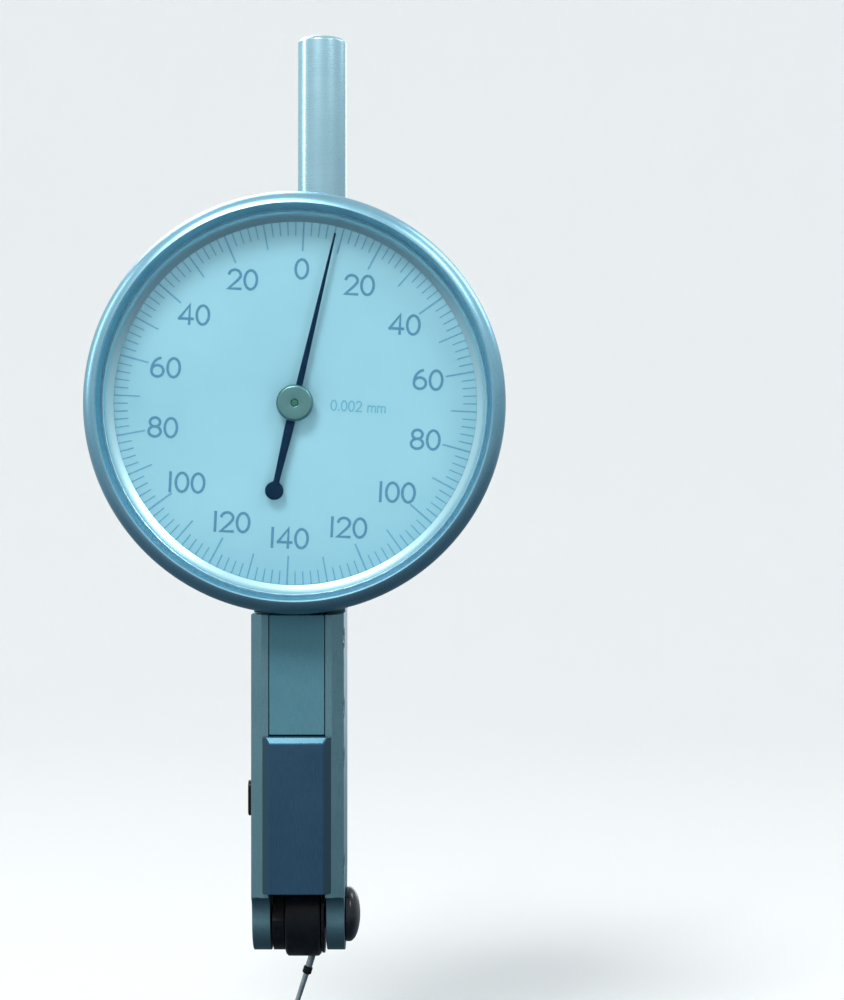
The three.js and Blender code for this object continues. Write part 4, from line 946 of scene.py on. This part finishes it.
placed("grub_pivot_screw", grub_screw, black_oxide, "frame", ["pivot_screw_left"])

# Contact holder: a blackened steel drum that turns stiffly on the lever's hub between
# the cheeks, with a thin friction washer beside it and the stylus screwed in below.
holder_bore, holder_radius, holder_left, holder_right = 1.62, 4.1, -1.32, 2.15
holder_profile = rounded([
    (holder_bore, holder_left), (3.85, holder_left), (holder_radius, -1.07),
    (holder_radius, 1.9), (3.85, holder_right), (holder_bore, holder_right)], 0.09)
placed("contact_drum", turned("X", pivot, holder_profile, 120), black_oxide, "contact_group",
       ["contact_holder"])
dressed(["friction_washer"], black_oxide)

# Contact point: a thin steel stylus with a tapered shank and a small blackened collar,
# which ends in a polished hard ball soldered into a cup.
stylus_lean = math.radians(18)
stylus_root = Vector((1.2, pivot_y, pivot_z - holder_radius))
stylus_axis = (0, 0)


def leaned(profile, steps):
    """Turns a piece along Z from zero, and stands it on the holder at the stylus's lean."""
    blank = turned("Z", stylus_axis, profile, steps)
    bmesh.ops.rotate(blank, verts=blank.verts, cent=(0, 0, 0),
                     matrix=Matrix.Rotation(stylus_lean, 3, "Y"))
    bmesh.ops.translate(blank, verts=blank.verts, vec=stylus_root)
    return blank


stylus_profile = [(0.0, 1.0), (0.38, 1.0), (0.38, 0.1), (0.34, 0.0), (0.34, -1.2), (0.3, -1.9),
                  (0.27, -2.1), (0.2, -9.75), (0.26, -10.0), (0.2, -10.06), (0.0, -10.06)]
placed("stylus", leaned(stylus_profile, 40), bright_steel, "contact_group", ["contact_point"])
collar_profile = rounded([(0.32, -1.15), (0.45, -1.22), (0.46, -1.84), (0.27, -1.97)], 0.06)
placed("stylus_collar", leaned(collar_profile, 40), black_oxide, "contact_group", [])
ball_radius, ball_middle, ball_steps = 0.5, -10.515, 24
ball_profile = []
for step in range(ball_steps + 1):
    angle = math.pi * step / ball_steps
    ball_profile.append((ball_radius * math.sin(angle),
                         ball_middle + ball_radius * math.cos(angle)))
hard_ball = Finish("polished_hard_ball")
ball_cloud = hard_ball.grain(3000)
hard_ball.lay(hard_ball.blend(ball_cloud, ink(120, 132, 140), ink(150, 162, 168)),
              ball_cloud * 0.08 + 0.1, 1.0)
placed("stylus_ball", leaned(ball_profile, 48), hard_ball, "contact_group", ["contact_ball"],
       40)

# Reversing lever: a small blackened tab in a round recess of the left wall, which
# tips between two stops and sets the spring to push the lever the other way.
tab_round, tab_reach, tab_steps = 0.75, 1.0, 16
tab_outline = []
for middle, begin in ((tab_reach, 0), (-tab_reach, 180)):
    for step in range(tab_steps + 1):
        angle = math.radians(begin + 180 * step / tab_steps)
        tab_outline.append((recess[0] + tab_round * math.cos(angle),
                            recess[1] + middle + tab_round * math.sin(angle)))
tab = softened(extruded(tab_outline, "X", -4.95, -4.15), 0.1, 3)
tab = carved(tab, drilled("X", recess, 0.85, -4.3, -2.4, 32), operation="UNION")
placed("reversing_tab", tab, black_oxide, "reversing_group", ["reversing_lever"])

# Clamp: a block and a jaw grip the dovetail behind the body and are drawn together
# by a screw with a knurled head; the block carries the stem.
clamp_top, clamp_bottom = 5.0, -9.0
clamp_front, clamp_back, clamp_edge = 15.8, 22.4, 0.6
clamp_screw_axis = (20, -3)


def clamp_part(inner, outer):
    """One half of the clamp, from the gap between the halves to its bevelled outer side."""
    edge = math.copysign(clamp_edge, outer - inner)
    section = [(inner, clamp_front), (outer, clamp_front), (outer, clamp_back - clamp_edge),
               (outer - edge, clamp_back), (inner, clamp_back)]
    blank = softened(extruded(section, "Z", clamp_bottom, clamp_top), 0.18, 3, 25)
    groove = dovetail(2.67, 3.37, 15.2, 17.57, -10, 6)
    bore = drilled("X", clamp_screw_axis, 1.15, -9, 4.65, 32)
    return softened(carved(blank, groove, bore), 0.06, 2, 42)


clamp_chrome = milled_chrome("clamp_satin_chrome", ink(92, 128, 144), ink(122, 158, 172), 0.36)
placed("clamp_main_block", clamp_part(-1.35, 6.6), clamp_chrome, "frame", ["clamp_block"],
       weighted=True)
placed("clamp_side_jaw", clamp_part(-1.65, -6.4), clamp_chrome, "frame", ["clamp_jaw"],
       weighted=True)
thumb_radius, thumb_shank = 2.2, 1.1
thumb_knurls, thumb_knurl_depth, thumb_knurl_end = 48, 0.16, 0.02
thumb_profile = [
    (0.0, -8.75), (0.7, -8.8), (1.9, -8.85), (2.12, -8.72), (thumb_radius, -8.55, thumb_knurl_end),
    (thumb_radius, -8.4, thumb_knurl_depth), (thumb_radius, -7.6, thumb_knurl_depth),
    (thumb_radius, -6.9, thumb_knurl_depth), (thumb_radius, -6.72, thumb_knurl_end),
    (2.1, -6.5), (1.95, -6.45), (thumb_shank, -6.45), (thumb_shank, 4.6), (0.0, 4.6)]
placed("clamp_thumb_screw",
       turned("X", clamp_screw_axis, thumb_profile, thumb_knurls * 4, thumb_knurls), bright_steel,
       "clamp_screw_group", ["clamp_screw"], 28)

# Stem: a ground and chromed steel rod that stands on the clamp block, with a
# chamfered end; a holder's sleeve grips it.
stem_axis, stem_radius, stem_top = (1.75, 19), 2.5, 38.3
stem_profile = rounded([
    (0.0, 1.45), (1.5, 1.45), (1.5, 5.05), (stem_radius, 5.05), (stem_radius, 37.95),
    (2.15, stem_top), (0.0, stem_top)], 0.06, closed=False)
stem_chrome = turned_chrome("stem_ground_chrome", "Z", (*stem_axis, 0), ink(152, 194, 210),
                            ink(178, 217, 230), 0.28)
placed("stem_rod", turned("Z", stem_axis, stem_profile, 96), stem_chrome, "frame", ["stem"])
